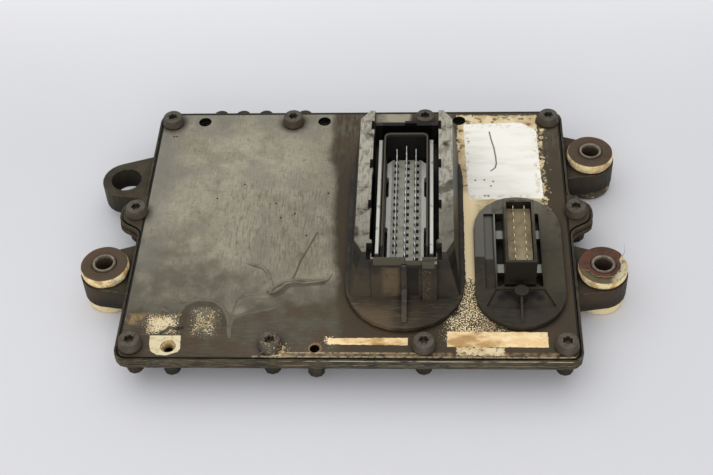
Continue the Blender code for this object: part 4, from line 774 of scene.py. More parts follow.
SPECKLED_PATCH = (-83.0, -80.0, -63.0, -56.0)
LABEL_RESIDUE = (54.5, 8.0, 104.0, 90.0)
GAP_RESIDUE = (58.8, -58.0, 72.0, 26.0)
GAP_CRUMBS = (44.0, -86.0, 84.0, -36.0)
CLEAN_CREAM = (46.0, -86.0, 70.0, 28.0)
EDGE_RESIDUE = (90.0, 6.0, 109.0, 80.0)
STRIP_FLAKES = (53.0, -90.0, 79.5, -82.0)


@dataclass(frozen=True)
class DriedFilm(Finish):
    """The cover's lacquer where it has lifted, or run and dried in a ridge: the same grey, a bit glossier."""

    name: str = "dried_lacquer_film"
    base: str = "#645f50"
    dark: str = "#454034"
    pale: str = "#857f6b"

    def mix(self, work: Paintwork) -> bpy.types.Material:
        """Builds the nodes.

        Args:
            work: the node tree.

        Returns:
            The material.
        """
        # Faces that look forward are painted darker: painted shade on the ridges' front sides.
        forward = work.towards(AXES[1], -0.10, -0.55, 0.85)
        behind = work.slope(work.y, -58, -38, 0.8)
        coats = [(self.pale, behind), (self.dark, work.cloud(6, 0.45, 0.66, most=0.5)), (self.dark, forward)]
        normal = work.grained(0.03, 0.8)
        return work.close(work.paint(self.base, coats), 0.45, normal)


@dataclass(frozen=True)
class MouldedRubber(Finish):
    """Black rubber pressed in a mould: dull, a little dusty, with no grain to see."""

    name: str = "black_moulded_rubber"
    base: str = "#14120f"
    dust: str = "#2c2823"

    def mix(self, work: Paintwork) -> bpy.types.Material:
        """Builds the nodes.

        Args:
            work: the node tree.

        Returns:
            The material.
        """
        dust = work.cloud(3, 0.45, 0.65)
        normal = work.grained(0.03, 0.6)
        return work.close(work.paint(self.base, [(self.dust, dust)]), 0.75, normal)


@dataclass(frozen=True)
class BlackenedSteel(Finish):
    """Cold-formed steel with a black oxide coat, browned by dirt and rubbed bare on its corners."""

    name: str = "blackened_steel"
    base: str = "#4e4940"
    brown: str = "#4b4136"
    dust: str = "#686257"
    bare: str = "#989285"
    rust: str = "#b39b70"
    black: str = "#100e0c"

    def mix(self, work: Paintwork) -> bpy.types.Material:
        """Builds the nodes.

        Args:
            work: the node tree.

        Returns:
            The material.
        """
        brown = work.cloud(6, 0.42, 0.62)
        # Sheltered corners and the socket painted black: dirt, and painted shade.
        dirt = work.corners(3.0, 0.7, 0.25)
        wear = work.both(work.worn_edges(0.35), work.cloud(2.5, 0.36, 0.52, shift=2.0), 0.8)
        dusty = work.both(work.upward(0.7, 0.95), work.cloud(3.5, 0.36, 0.60, shift=5.0), 0.55)
        flecks = work.both(work.disc(*RUSTED_SCREW, 7.4, 1.0), work.cloud(0.9, 0.57, 0.66, shift=9.0))
        coats = [(self.brown, brown), (self.dust, dusty), (self.black, dirt)]
        coats += [(self.bare, wear), (self.rust, flecks)]
        normal = work.relief(0.0, [(0.04, work.cloud(0.8, 0.3, 0.7)), (0.05, brown)])
        roughness = work.levels(0.50, [(0.65, brown), (0.35, wear)])
        return work.close(work.paint(self.base, coats), roughness, normal, Metallic=0.35)


@dataclass(frozen=True)
class GlassFilledPolyester(Finish):
    """Black glass-filled polyester, injection moulded: satin and finely pitted, grey with dust on top."""

    name: str = "glass_filled_polyester"
    base: str = "#2a2722"
    dust: str = "#aea998"
    film: str = "#4a463b"
    brown: str = "#463d2f"
    scuff: str = "#6e6453"
    black: str = "#0e0d0c"
    dusty_above: float = 48.0
    dust_share: float = 0.90
    brown_share: float = 0.85
    brown_below: float = 49.0
    scuff_share: float = 0.55

    def zones(self, work: Paintwork) -> list[Coat]:
        """Coats that only one of the two mouldings has."""
        return []

    def mix(self, work: Paintwork) -> bpy.types.Material:
        """Builds the nodes.

        Args:
            work: the node tree.

        Returns:
            The material.
        """
        up = work.upward(0.55, 0.95)
        high = work.slope(work.z, self.dusty_above - 1.0, self.dusty_above)
        patches = work.cloud(7, 0.30, 0.52)
        pits = work.specks(0.9, 0.22, 0.45)
        fading = work.slope(work.y, -60, 30, 0.5)
        share = work.add(Kind.MATH, [fading, self.dust_share - 0.45], operation="ADD")
        dust = work.without(work.both(up, high, patches, share), pits)
        film = work.both(up, work.cloud(9, 0.38, 0.62, shift=4.0), 0.6)
        low = work.slope(work.z, self.brown_below, self.brown_below - 8.0)
        forward = work.slope(work.y, -36, -54)
        brown = work.both(low, forward, work.cloud(13, 0.26, 0.50, shift=2.0), self.brown_share)
        scuffs = work.cloud(0.9, 0.52, 0.68, stretch=(9.0, 1.0, 1.0), shift=12.0)
        scuffs = work.both(up, forward, scuffs, self.scuff_share)
        streaks = work.both(dust, work.cloud(1.3, 0.46, 0.64, stretch=(1.0, 5.0, 1.0), shift=7.0), 0.6)
        # Sheltered corners painted black: dirt, and painted shade.
        dirt = work.corners(4.0, 0.6, 0.2)
        coats = [(self.film, film), (self.brown, brown), (self.scuff, scuffs), (self.black, dirt)]
        coats += [(self.dust, dust), (self.film, streaks)] + self.zones(work)
        wear = work.both(work.worn_edges(0.4), work.cloud(4, 0.42, 0.60, shift=6.0), 0.45)
        coats.append((self.film, wear))
        grain = work.cloud(0.5, 0.3, 0.7, detail=2.0)
        roughness = work.levels(0.42, [(0.7, film), (0.78, dust), (0.62, brown)])
        normal = work.relief(0.5, [(0.03, grain), (-0.10, pits), (0.05, brown)])
        return work.close(work.paint(self.base, coats), roughness, normal)


@dataclass(frozen=True)
class LargeHeaderPolyester(GlassFilledPolyester):
    """The 55-way moulding: light rails, bright guide edges, brown front."""

    name: str = "glass_filled_polyester_large"
    guide: str = "#cfcdc2"
    painted_deck_shade: str = "#1d1a14"
    clay: str = "#6a5943"

    def zones(self, work: Paintwork) -> list[Coat]:
        """The bright guide walls, the pale shroud and rail, the brown front and what lies in shadow.

        Args:
            work: the node tree.

        Returns:
            The coats.
        """
        away = work.apart(work.x, LARGE_X)
        guide = work.both(work.slope(away, 12.9, 13.1), work.slope(away, 14.7, 14.5))
        top = work.slope(work.z, 49.5, 50.0)
        up = work.both(work.upward(0.8, 0.95), top)
        behind = work.both(up, work.slope(work.y, -45.5, -44.0))
        shroud = work.both(work.slope(away, 15.4, 15.2), top)
        ledge = work.both(work.slope(work.z, 43.0, 44.0), work.slope(work.z, 51.5, 51.0))
        # The front panel's deck is painted near black: painted shade.
        panel = work.both(work.slope(work.y, -39.5, -40.0), ledge, work.upward(0.15, 0.4))
        fresh = work.both(work.box(*FRESH_CLAY, 9.0), work.slope(work.z, 30, 28), 0.6)
        front = work.both(work.box(*SCUFFED_RAIL, 5.0), top, 0.5)
        bright = work.add(Kind.RANGE, [work.y, 60.0 * MM, -20.0 * MM, 0.4, 0.95])
        guide = work.both(guide, behind, bright, work.cloud(5, 0.3, 0.45, shift=9.0))
        chipped = work.both(work.line(RAIL_CHIP, 2.4, 1.2), work.cloud(3, 0.25, 0.45, shift=5.0), 0.85)
        shaded = work.both(work.towards(AXES[0], 0.3, 0.7), work.slope(work.z, 47, 44), 0.6)
        oily = work.both(work.box(*OILY_FRONT, 9.0), work.slope(work.z, 48, 45), 0.35)
        inside = work.box(LARGE_X / MM - 14.0, 30.0, LARGE_X / MM + 14.0, 90.0, 0.5)
        inside = work.both(inside, work.slope(work.z, 49, 48), 0.8)
        walls = work.both(work.slope(work.z, 48.5, 47.5), work.slope(work.z, 27.5, 29.0))
        recess = work.both(work.box(*RIB_RECESS, 0.5), walls, 0.65)
        speckled = work.both(work.box(*RIB_SPECKLES, 0.5), walls)
        speckled = work.both(speckled, work.cloud(1.0, 0.50, 0.62, shift=15.0), 0.55)
        coats = [(self.film, shroud), (self.painted_deck_shade, panel), (self.clay, fresh), (self.guide, guide)]
        rubbed = work.both(work.box(*RIB_RUB, 3.0), walls, work.cloud(6, 0.25, 0.55, shift=25.0), 0.6)
        coats += [(self.clay, rubbed), (self.black, recess), (self.scuff, speckled)]
        coats += [(self.film, chipped), (self.film, front), (self.black, shaded), (self.black, oily)]
        return coats + [(self.black, inside)]


# Marks on the large header, as those on the case
RAIL_CHIP = [(53.0, 1.5), (50.5, -1.5), (47.0, -3.0)]
FRESH_CLAY = (0.0, -80.0, 27.0, -56.0)
SCUFFED_RAIL = (43.0, -50.0, 60.0, -10.0)
OILY_FRONT = (31.0, -92.0, 66.0, -40.0)
RIB_RECESS = (29.7, -60.0, 35.8, -48.0)
RIB_SPECKLES = (36.2, -60.0, 42.0, -48.0)
RIB_RUB = (16.0, -60.0, 27.0, -48.0)


@dataclass(frozen=True)
class SmallHeaderPolyester(GlassFilledPolyester):
    """The 16-way moulding: greyer on its left side, with a pale edge along the well."""

    name: str = "glass_filled_polyester_small"
    base: str = "#2f2a20"
    film: str = "#4d4635"
    side: str = "#76736a"
    pale: str = "#8f8d83"
    bridge: str = "#a09f97"
    dusty_above: float = 26.0
    dust_share: float = 0.25
    brown_share: float = 0.25
    scuff_share: float = 0.22

    def zones(self, work: Paintwork) -> list[Coat]:
        """The grey left side, the pale edge and bridge, and the dark front, with painted shade on the faces
        that look forward and in the hollows beside the knob.

        Args:
            work: the node tree.

        Returns:
            The coats.
        """
        x = SMALL_X / MM
        grey = work.both(work.box(x - 23.0, -26.0, x - 12.8, 20.0, 0.8), work.upward(), 0.75)
        edge = work.both(work.box(x - 12.7, -48.0, x - 11.4, 5.6, 0.3), work.upward(0.7, 0.9))
        edge = work.both(edge, work.slope(work.y, -45, -14))
        level = work.both(work.slope(work.z, 25.4, 25.8), work.slope(work.z, 26.4, 26.2))
        bridge = work.both(work.box(x - 11.7, -43.0, x + 11.7, 6.0, 0.2), level, work.upward())
        right = work.both(work.box(x + 11.0, -50.0, x + 26.0, 10.0, 4.0), work.upward(), 0.45)
        ahead = work.both(work.slope(work.y, -36, -62), 0.45)
        # Faces that look forward are painted darker: painted shade.
        painted_forward_shade = work.both(work.towards(AXES[1], -0.5, -0.9), work.slope(work.z, 27, 30), 0.55)
        # The hollows beside the knob are painted black: painted shade.
        pockets = [work.disc(x + side, y, radius, radius - 1.0) for side, y, radius in KNOB_SHADE]
        pockets = work.both(work.either(*pockets), work.upward(), 0.85)
        coats = [(self.side, grey), (self.pale, edge), (self.bridge, bridge), (self.film, right)]
        return coats + [(self.black, ahead), (self.black, painted_forward_shade), (self.black, pockets)]


# Painted shade in the hollows beside the small header's knob: how far to its side, where along Y, the radius
KNOB_SHADE = [(-6.5, -50.5, 4.6), (-9.5, -52.5, 3.6), (6.6, -50.5, 4.6), (9.5, -52.5, 3.6)]


@dataclass(frozen=True)
class GreyCarrierResin(Finish):
    """The pale grey resin that holds the blades, moulded with a small pocket at each of them; the pockets are
    painted dark, as their shade. The blades that rise out of it are tinned brass: their tops are painted
    white as a highlight, and their shanks dark as shade."""

    name: str = "grey_carrier_resin"
    base: str = "#cdcab9"
    light: str = "#f6f3e8"
    dirt: str = "#8d897a"
    pocket: str = "#26241f"
    pin: str = "#ffffff"

    def mix(self, work: Paintwork) -> bpy.types.Material:
        """Builds the nodes.

        Args:
            work: the node tree.

        Returns:
            The material.
        """
        offset = work.add(Kind.MATH, [work.x, LARGE_X], operation="SUBTRACT")
        away = work.add(Kind.MATH, [offset], operation="ABSOLUTE")
        sides = work.both(work.slope(away, 7.9, 8.4), 0.95)
        # The pockets are dark patches: painted shade of hollows that the mesh doesn't have.
        pockets = [self.pocket_row(work, offset, column, side, phase) for column, side, phase in POCKETS]
        # The blades' tops are painted white, a painted highlight, and their shanks below dark, as shade.
        pins = work.slope(work.z, 31.3, 31.5)
        stains = work.cloud(5, 0.45, 0.65)
        # Sheltered corners in the dirt colour: dirt, and painted shade.
        dirt = work.corners(3.0, 0.6, 0.2)
        shanks = work.both(pins, work.slope(work.z, 39.9, 39.3), work.slope(work.y, 38.0, 37.4))
        coats = [(self.dirt, work.both(stains, 0.5)), (self.dirt, dirt), (self.light, sides)]
        coats += [(self.pocket, work.either(*pockets)), (self.pin, pins)]
        coats.append((self.pocket, work.both(shanks, 0.8)))
        roughness = work.levels(0.5, [(0.35, pins)])
        normal = work.relief(0.15, [(0.03, work.cloud(0.7, 0.3, 0.7))])
        metal = work.levels(0.0, [(0.12, pins)])
        return work.close(work.paint(self.base, coats), roughness, normal, Metallic=metal)

    def pocket_row(self, work: Paintwork, offset: Mask, column: float, side: float, first: float) -> Mask:
        """The pockets beside one column of blades, painted dark as their shade.

        Args:
            work: the node tree.
            offset: the distance to the header's middle along X.
            column: the column's own distance from there, in millimetres.
            side: on which side of the blades the pockets lie, -1 or 1.
            first: Y of the rearmost blade in millimetres.

        Returns:
            The mask.
        """
        across = work.apart(offset, (column + side * 0.35) * MM)
        rows = work.add(Kind.RANGE, [work.y, (first - 2.5) * MM, (first + 2.5) * MM, 0.0, 1.0], clamp=False)
        along = work.apart(work.add(Kind.MATH, [rows], operation="FRACT"), 0.5)
        below = work.slope(work.z, 31.5, 31.3)
        return work.both(work.slope(across, 1.45, 1.2), work.rise(along, 0.26, 0.20), below)


# Pockets in the carrier: the column's distance from the middle, the side they lie on, Y of the rearmost
POCKETS = [(-5.2, -1.0, 38.7), (0.0, 1.0, 41.2), (5.2, 1.0, 38.7)]


@dataclass(frozen=True)
class TanInsertResin(Finish):
    """Amber resin cast round the 16 blades: milky, a little light passes through it."""

    name: str = "tan_insert_resin"
    base: str = "#8f7f62"
    light: str = "#b6a783"
    stain: str = "#6a5b43"
    pin: str = "#efe4c8"

    def mix(self, work: Paintwork) -> bpy.types.Material:
        """Builds the nodes.

        Args:
            work: the node tree.

        Returns:
            The material.
        """
        pins = work.slope(work.z, 39.15, 39.3)
        near = work.slope(work.y, -22, -44)
        stain = work.cloud(5, 0.44, 0.62)
        coats = [(self.light, work.both(near, 0.7)), (self.stain, work.both(stain, 0.5)), (self.pin, pins)]
        roughness = work.levels(0.38, [(0.2, pins)])
        metal = work.levels(0.0, [(0.85, pins)])
        normal = work.relief(0.2, [(0.05, work.cloud(1.4, 0.3, 0.7))])
        colour = work.paint(self.base, coats)
        return work.close(colour, roughness, normal, Metallic=metal, Subsurface_Weight=0.15)


@dataclass(frozen=True)
class CreamRubber(Finish):
    """Cream rubber, soft and matt, whose upper face is dark with brake dust and oil."""

    name: str = "cream_rubber"
    base: str = "#e3be86"
    ivory: str = "#f1dcae"
    stain: str = "#96652f"
    dark: str = "#3b2d22"
    face: str = "#4d4030"
    face_red: str = "#5a3c2c"
    face_above: float = 24.8
    foot: str = "#dcc79c"

    def reddened(self, work: Paintwork) -> Mask:
        """Where the upper face has its second colour."""
        return work.cloud(8, 0.54, 0.70, shift=8.0)

    def mix(self, work: Paintwork) -> bpy.types.Material:
        """Builds the nodes.

        Args:
            work: the node tree.

        Returns:
            The material.
        """
        above = work.slope(work.z, self.face_above, self.face_above + 0.6)
        top = work.both(work.upward(0.45, 0.75), above)
        stain = work.cloud(4, 0.50, 0.62)
        patches = work.cloud(9, 0.52, 0.66, shift=3.0)
        # Sheltered corners painted dark: dirt, and painted shade.
        dirt = work.corners(3.0, 0.65, 0.25)
        coats = [(self.ivory, work.cloud(6, 0.4, 0.6, shift=6.0)), (self.stain, work.both(stain, 0.55))]
        coats += [(self.dark, work.both(patches, 0.4)), (self.dark, dirt), (self.face, top)]
        coats += [(self.face_red, work.both(top, self.reddened(work)))]
        coats += [(self.foot, work.both(work.slope(work.z, 8, 7), work.cloud(3, 0.2, 0.5, most=0.95)))]
        normal = work.relief(0.0, [(0.08, work.cloud(1.1, 0.3, 0.7)), (0.15, stain)])
        roughness = work.levels(0.8, [(0.6, top)])
        return work.close(work.paint(self.base, coats), roughness, normal, Subsurface_Weight=0.08)


@dataclass(frozen=True)
class TornCreamRubber(CreamRubber):
    """Cream rubber whose upper skin is torn off: olive with old dirt, pale where the tear is fresh."""

    name: str = "cream_rubber_torn"
    face: str = "#5e5641"
    face_red: str = "#cdc1a0"
    face_above: float = 24.2
    fresh_from: float = 133.0

    def reddened(self, work: Paintwork) -> Mask:
        """The fresh side of the tear."""
        patches = work.cloud(3, 0.30, 0.50, shift=8.0)
        return work.both(work.slope(work.x, self.fresh_from, self.fresh_from + 4.0), patches, 0.9)


OILED_RUBBER = CreamRubber("cream_rubber_oiled", face_red="#453a2e", foot="#39332a")


@dataclass(frozen=True)
class TornRubberSkin(Finish):
    """The reddish upper skin of the torn bush: brown rubber with a pale torn edge."""

    name: str = "torn_rubber_skin"
    base: str = "#5f3a2a"
    dark: str = "#453226"
    pale: str = "#c39a74"

    def mix(self, work: Paintwork) -> bpy.types.Material:
        """Builds the nodes.

        Args:
            work: the node tree.

        Returns:
            The material.
        """
        dark = work.cloud(5, 0.42, 0.62)
        edge = work.both(work.towards(AXES[2], 0.6, 0.2), 0.8)
        normal = work.grained(0.12, 1.3)
        return work.close(work.paint(self.base, [(self.dark, dark), (self.pale, edge)]), 0.6, normal)


@dataclass(frozen=True)
class ZincPlatedSteel(Finish):
    """A turned steel tube, zinc plated and gone dull: grey, with faint rings from the lathe."""

    name: str = "zinc_plated_steel"
    base: str = "#8a8173"
    dull: str = "#6a6153"
    dark: str = "#4a3b2f"

    def mix(self, work: Paintwork) -> bpy.types.Material:
        """Builds the nodes.

        Args:
            work: the node tree.

        Returns:
            The material.
        """
        dull = work.cloud(3, 0.42, 0.62)
        inside = work.slope(work.z, 26.2, 24.5)
        centres = [middle(lug + "_sleeve") for lug in ("front_left", "front_right", "rear_right")]
        rims = [work.disc(x / MM, y / MM, 6.0, 0.4) for x, y in centres]
        outer = work.without(0.85, work.either(*rims))
        coats = [(self.dull, dull), (self.dark, work.both(inside, 0.9)), (self.dark, outer)]
        normal = work.grained(0.03, 0.6)
        return work.close(work.paint(self.base, coats), 0.48, normal, Metallic=0.4)


@dataclass(frozen=True)
class LabelFilm(Finish):
    """A white polyester label, blank, a little yellowed, with one long ink stroke and a few burnt dots."""

    name: str = "white_label_film"
    base: str = "#f8f5ea"
    shade: str = "#e6e1d2"
    ink: str = "#1d1b18"
    edge: str = "#cfc3a4"

    def mix(self, work: Paintwork) -> bpy.types.Material:
        """Builds the nodes.

        Args:
            work: the node tree.

        Returns:
            The material.
        """
        shade = work.cloud(9, 0.45, 0.65, stretch=(2.5, 0.6, 1.0))
        stroke = work.line(INK_STROKE, 0.25, 0.3)
        dots = [work.disc(x, y, 0.8, 0.4) for x, y in INK_DOTS]
        rim = work.without(1.0, work.box(*LABEL_FIELD, 2.5))
        coats = [(self.shade, work.both(shade, 0.5))]
        coats.append((self.edge, work.both(rim, work.cloud(3, 0.5, 0.6, most=0.6))))
        coats += [(self.ink, work.both(stroke, 0.85)), (self.ink, work.both(work.either(*dots), 0.8))]
        normal = work.relief(0.0, [(0.06, work.cloud(14, 0.3, 0.7)), (0.02, shade)])
        return work.close(work.paint(self.base, coats), 0.45, normal)


# Marks on the label, as those on the case
LABEL_FIELD = (62.5, 21.5, 100.0, 78.5)
INK_STROKE = [
    (74.9, 73.9), (75.7, 67.7), (77.1, 60.7), (77.9, 52.9), (78.1, 47.7), (77.4, 44.3), (75.0, 41.8),
]
INK_DOTS = [(66.1, 34.3), (71.1, 34.6), (75.9, 33.4), (74.6, 29.8), (71.0, 22.2), (72.9, 22.1), (62.9, 66.0)]


@dataclass(frozen=True)
class OldPaper(Finish):
    """A strip of paper whose print and top layer have come off: tan fibres, browned and torn."""

    name: str = "old_tan_paper"
    base: str = "#edcb96"
    light: str = "#fbe2b2"
    brown: str = "#a67c46"
    dark: str = "#4a3a28"

    def mix(self, work: Paintwork) -> bpy.types.Material:
        """Builds the nodes.

        Args:
            work: the node tree.

        Returns:
            The material.
        """
        light = work.cloud(6, 0.42, 0.6, stretch=(2.0, 1.0, 1.0))
        brown = work.cloud(11, 0.50, 0.66, stretch=(2.0, 1.0, 1.0), shift=3.0)
        specks = work.specks(1.6, 0.16, 0.25)
        coats = [(self.light, light), (self.brown, work.both(brown, 0.8))]
        coats.append((self.dark, work.both(specks, 0.8)))
        normal = work.relief(0.0, [(0.05, work.cloud(0.7, 0.3, 0.7, stretch=(3.0, 1.0, 1.0)))])
        return work.close(work.paint(self.base, coats), 0.85, normal)


@dataclass(frozen=True)
class CreamTape(Finish):
    """A scrap of cream tape round a screw hole, matt and chalky."""

    name: str = "cream_tape"
    base: str = "#dccfab"
    stain: str = "#c4ab78"

    def mix(self, work: Paintwork) -> bpy.types.Material:
        """Builds the nodes.

        Args:
            work: the node tree.

        Returns:
            The material.
        """
        stain = work.cloud(3, 0.5, 0.62)
        normal = work.grained(0.05, 0.9)
        return work.close(work.paint(self.base, [(self.stain, work.both(stain, 0.7))]), 0.85, normal)


@dataclass(frozen=True)
class CrustedDirt(Finish):
    """Dried road dirt and old grease, crusted in a screw hole: tan, and darker with depth as painted shade.
    """

    name: str = "crusted_dirt"
    base: str = "#ab8f61"
    pale: str = "#d9c292"
    dark: str = "#4b3a26"

    def mix(self, work: Paintwork) -> bpy.types.Material:
        """Builds the nodes.

        Args:
            work: the node tree.

        Returns:
            The material.
        """
        # Painted shade: darker down the hole.
        deep = work.rise(work.z, COVER_TOP - 0.3 * MM, COVER_TOP - 3.0 * MM)
        coats = [(self.pale, work.cloud(1.6, 0.46, 0.62)), (self.dark, work.both(deep, 0.8))]
        normal = work.grained(0.1, 0.7)
        return work.close(work.paint(self.base, coats), 0.9, normal)


@dataclass(frozen=True)
class PlainInner(Finish):
    """A clean surface inside the case: one colour with fine mottling, and relief of its own grain."""

    colour: str = "#202020"
    second: str = "#303030"
    grain: float = 1.0
    roughness: float = 0.5
    metallic: float = 0.0

    def mix(self, work: Paintwork) -> bpy.types.Material:
        """Builds the nodes.

        Args:
            work: the node tree.

        Returns:
            The material.
        """
        mottle = work.cloud(self.grain, 0.42, 0.62)
        normal = work.relief(0.15, [(0.02, work.cloud(self.grain * 0.4, 0.3, 0.7))])
        colour = work.paint(self.colour, [(self.second, mottle)])
        roughness = work.levels(self.roughness, [(min(1.0, self.roughness + 0.12), mottle)])
        return work.close(colour, roughness, normal, Metallic=self.metallic)


@dataclass(frozen=True)
class SatinTable(Finish):
    """The pale satin table under the unit, painted lighter towards the rear as painted light."""

    name: str = "pale_satin_table"
    base: str = "#d8d8da"
    shade: str = "#d4d4d7"
    rear: str = "#fcfcfd"

    def mix(self, work: Paintwork) -> bpy.types.Material:
        """Builds the nodes.

        Args:
            work: the node tree.

        Returns:
            The material.
        """
        normal = work.grained(0.02, 30)
        # Lighter towards the rear: painted light.
        rear = work.slope(work.y, 80, 420)
        coats = [(self.shade, work.cloud(500, 0.3, 0.7)), (self.rear, rear)]
        return work.close(work.paint(self.base, coats), 0.55, normal)


SOLDER_MASK = PlainInner("green_solder_mask", "#0c4a24", "#12572c", 2.5, 0.35)
CHIP_EPOXY = PlainInner("black_chip_epoxy", "#141416", "#1c1c1f", 0.8, 0.5)
CAN_ALUMINIUM = PlainInner("drawn_can_aluminium", "#a9abae", "#93969a", 3.0, 0.3, 0.9)
FERRITE = PlainInner("sintered_ferrite", "#232326", "#2e2e33", 0.7, 0.7)
THERMAL_PAD = PlainInner("silicone_thermal_pad", "#8a93a3", "#7c8595", 1.5, 0.85)
ZINC_SCREW = PlainInner("zinc_board_screw", "#b3b4b6", "#8e8f92", 1.2, 0.35, 0.9)


def placed(name: str, data: bpy.types.ID) -> bpy.types.Object:
    """Puts a mesh, light or camera into the scene as an object.

    Args:
        name: the object's name.
        data: what it shows.

    Returns:
        The object.
    """
    made = bpy.data.objects.new(name, data)
    bpy.context.scene.collection.objects.link(made)
    return made


def add_piece(
    name: str,
    bm: Shape,
    finishes: Sequence[Finish],
    replaced: Sequence[str] = (),
    sharp: float = 35.0,
) -> bpy.types.Object:
    """Turns a bmesh to a piece of the scene that rides on the unit.

    Args:
        name: the piece's name.
        bm: its shape, in the frame's coordinates. It is freed here.
        finishes: its materials, in the order of the faces' material numbers.
        replaced: the CAD nodes that it stands for.
        sharp: edges that turn by more than this many degrees stay sharp.

    Returns:
        The object.
    """
    mesh = bpy.data.meshes.new(name)
    bm.to_mesh(mesh)
    bm.free()
    mesh.polygons.foreach_set("use_smooth", [True] * len(mesh.polygons))
    mesh.set_sharp_from_angle(angle=math.radians(sharp))
    for finish in finishes:
        mesh.materials.append(finish.material())
    piece = placed(name, mesh)
    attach(piece, BODY)
    if replaced:
        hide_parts(*replaced)
    LOG.info("%s: %d faces", name, len(mesh.polygons))
    return piece


def screw_centres() -> list[Point]:
    """Where the ten cover screws stand, in millimetres."""
    return [(x / MM, y / MM) for x, y in map(middle, SCREW_NODES)]


def dress(node: str, finish: Finish) -> None:
    """Gives a CAD node a finish.

    Args:
        node: its name.
        finish: its one material.
    """
    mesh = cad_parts[node].data
    mesh.materials.clear()
    mesh.materials.append(finish.material())
    LOG.info("%s: dressed with %s", node, finish.name)


SOCKET_LOBES = 6
RIDGE_SIDES = 8
NEAR = 0.01 * MM


@dataclass(frozen=True)
class Ring:
    """One ring of a turned piece: its radius and height, and how deep its lobes are, all in metres."""

    radius: float
    height: float
    lobes: float = 0.0


def edges_between(bm: Shape, verts: Sequence[bmesh.types.BMVert]) -> list[bmesh.types.BMEdge]:
    """The edges that join some vertices to each other."""
    return [edge for edge in bm.edges if all(v in verts for v in edge.verts)]


def drawn_out(bm: Shape, verts: Sequence[bmesh.types.BMVert]) -> list[bmesh.types.BMVert]:
    """Draws a new ring out of a ring of vertices, with a wall between the two."""
    made = bmesh.ops.extrude_edge_only(bm, edges=edges_between(bm, verts))["geom"]
    return [item for item in made if isinstance(item, bmesh.types.BMVert)]


def turned(centre: Point, rings: Sequence[Ring], steps: int, hollow: bool = False) -> Shape:
    """A body built up ring by ring.

    Args:
        centre: where its axis stands.
        rings: its outline, starting outside at the bottom.
        steps: vertices on each ring.
        hollow: whether the last ring joins the first one, which leaves a bore.

    Returns:
        The closed shape.
    """
    bm = bmesh.new()
    verts = bmesh.ops.create_circle(bm, segments=steps, radius=1.0)["verts"]
    loops = []
    for index, ring in enumerate(rings):
        if index:
            verts = drawn_out(bm, verts)
        for vertex in verts:
            angle = math.atan2(vertex.co.y, vertex.co.x)
            reach = ring.radius + ring.lobes * math.cos(SOCKET_LOBES * angle)
            vertex.co = (reach * math.cos(angle), reach * math.sin(angle), ring.height)
        loops.append(edges_between(bm, verts))
    if hollow:
        bmesh.ops.bridge_loops(bm, edges=loops[0] + loops[-1])
    else:
        bmesh.ops.holes_fill(bm, edges=loops[0] + loops[-1], sides=0)
    bmesh.ops.translate(bm, vec=(centre[0], centre[1], 0.0), verts=bm.verts)
    bmesh.ops.recalc_face_normals(bm, faces=bm.faces)
    return bm


def merge(bm: Shape, part: Shape) -> None:
    """Puts a part into a shape that is made of several closed bodies.

    Args:
        bm: the whole shape.
        part: the part, which is freed here.
    """
    mesh = bpy.data.meshes.new("part")
    part.to_mesh(mesh)
    part.free()
    bm.from_mesh(mesh)
    bpy.data.meshes.remove(mesh)


def slab(outline: Sequence[Point], bottom: float, top: float, hole: Sequence[Point] = ()) -> Shape:
    """A flat body with an outline.

    Args:
        outline: its corners from above, in millimetres.
        bottom: height of its underside in metres.
        top: height of its upper face in metres.
        hole: corners of a hole in it, in millimetres.

    Returns:
        The closed shape.
    """
    bm = bmesh.new()
    edges = []
    for corners in filter(None, (outline, hole)):
        verts = [bm.verts.new((x * MM, y * MM, bottom)) for x, y in corners]
        edges += [bm.edges.new((verts[i - 1], verts[i])) for i in range(len(verts))]
    bmesh.ops.triangle_fill(bm, use_beauty=True, edges=edges)
    made = bmesh.ops.extrude_face_region(bm, geom=bm.faces[:])["geom"]
    raised = [item for item in made if isinstance(item, bmesh.types.BMVert)]
    bmesh.ops.translate(bm, vec=(0.0, 0.0, top - bottom), verts=raised)
    bmesh.ops.recalc_face_normals(bm, faces=bm.faces)
    return bm


def swept(points: Sequence[Point], radii: Sequence[float], level: float, flatness: float) -> Shape:
    """A ridge along a line on a level face.

    Args:
        points: the line's corners in millimetres.
        radii: the ridge's radius at each corner in millimetres.
        level: height of its middle in metres.
        flatness: its height as a share of its width.

    Returns:
        The closed shape.
    """
    bm = bmesh.new()
    verts = bmesh.ops.create_circle(bm, segments=RIDGE_SIDES, radius=1.0)["verts"]
    ends = []
    for index, (x, y) in enumerate(points):
        if index:
            verts = drawn_out(bm, verts)
        before, after = points[max(0, index - 1)], points[min(len(points) - 1, index + 1)]
        heading = Vector((after[0] - before[0], after[1] - before[1], 0.0)).normalized()
        side = Vector((heading.y, -heading.x, 0.0))
        radius = radii[min(index, len(radii) - 1)] * MM
        for number, vertex in enumerate(sorted(verts, key=lambda v: v.index if index == 0 else 0)):
            angle = 2.0 * math.pi * number / RIDGE_SIDES
            offset = side * math.cos(angle) * radius
            height = level + math.sin(angle) * radius * flatness
            vertex.co = Vector((x * MM, y * MM, height)) + offset
        if index in (0, len(points) - 1):
            ends += edges_between(bm, verts)
    bmesh.ops.holes_fill(bm, edges=ends, sides=0)
    bmesh.ops.recalc_face_normals(bm, faces=bm.faces)
    return bm


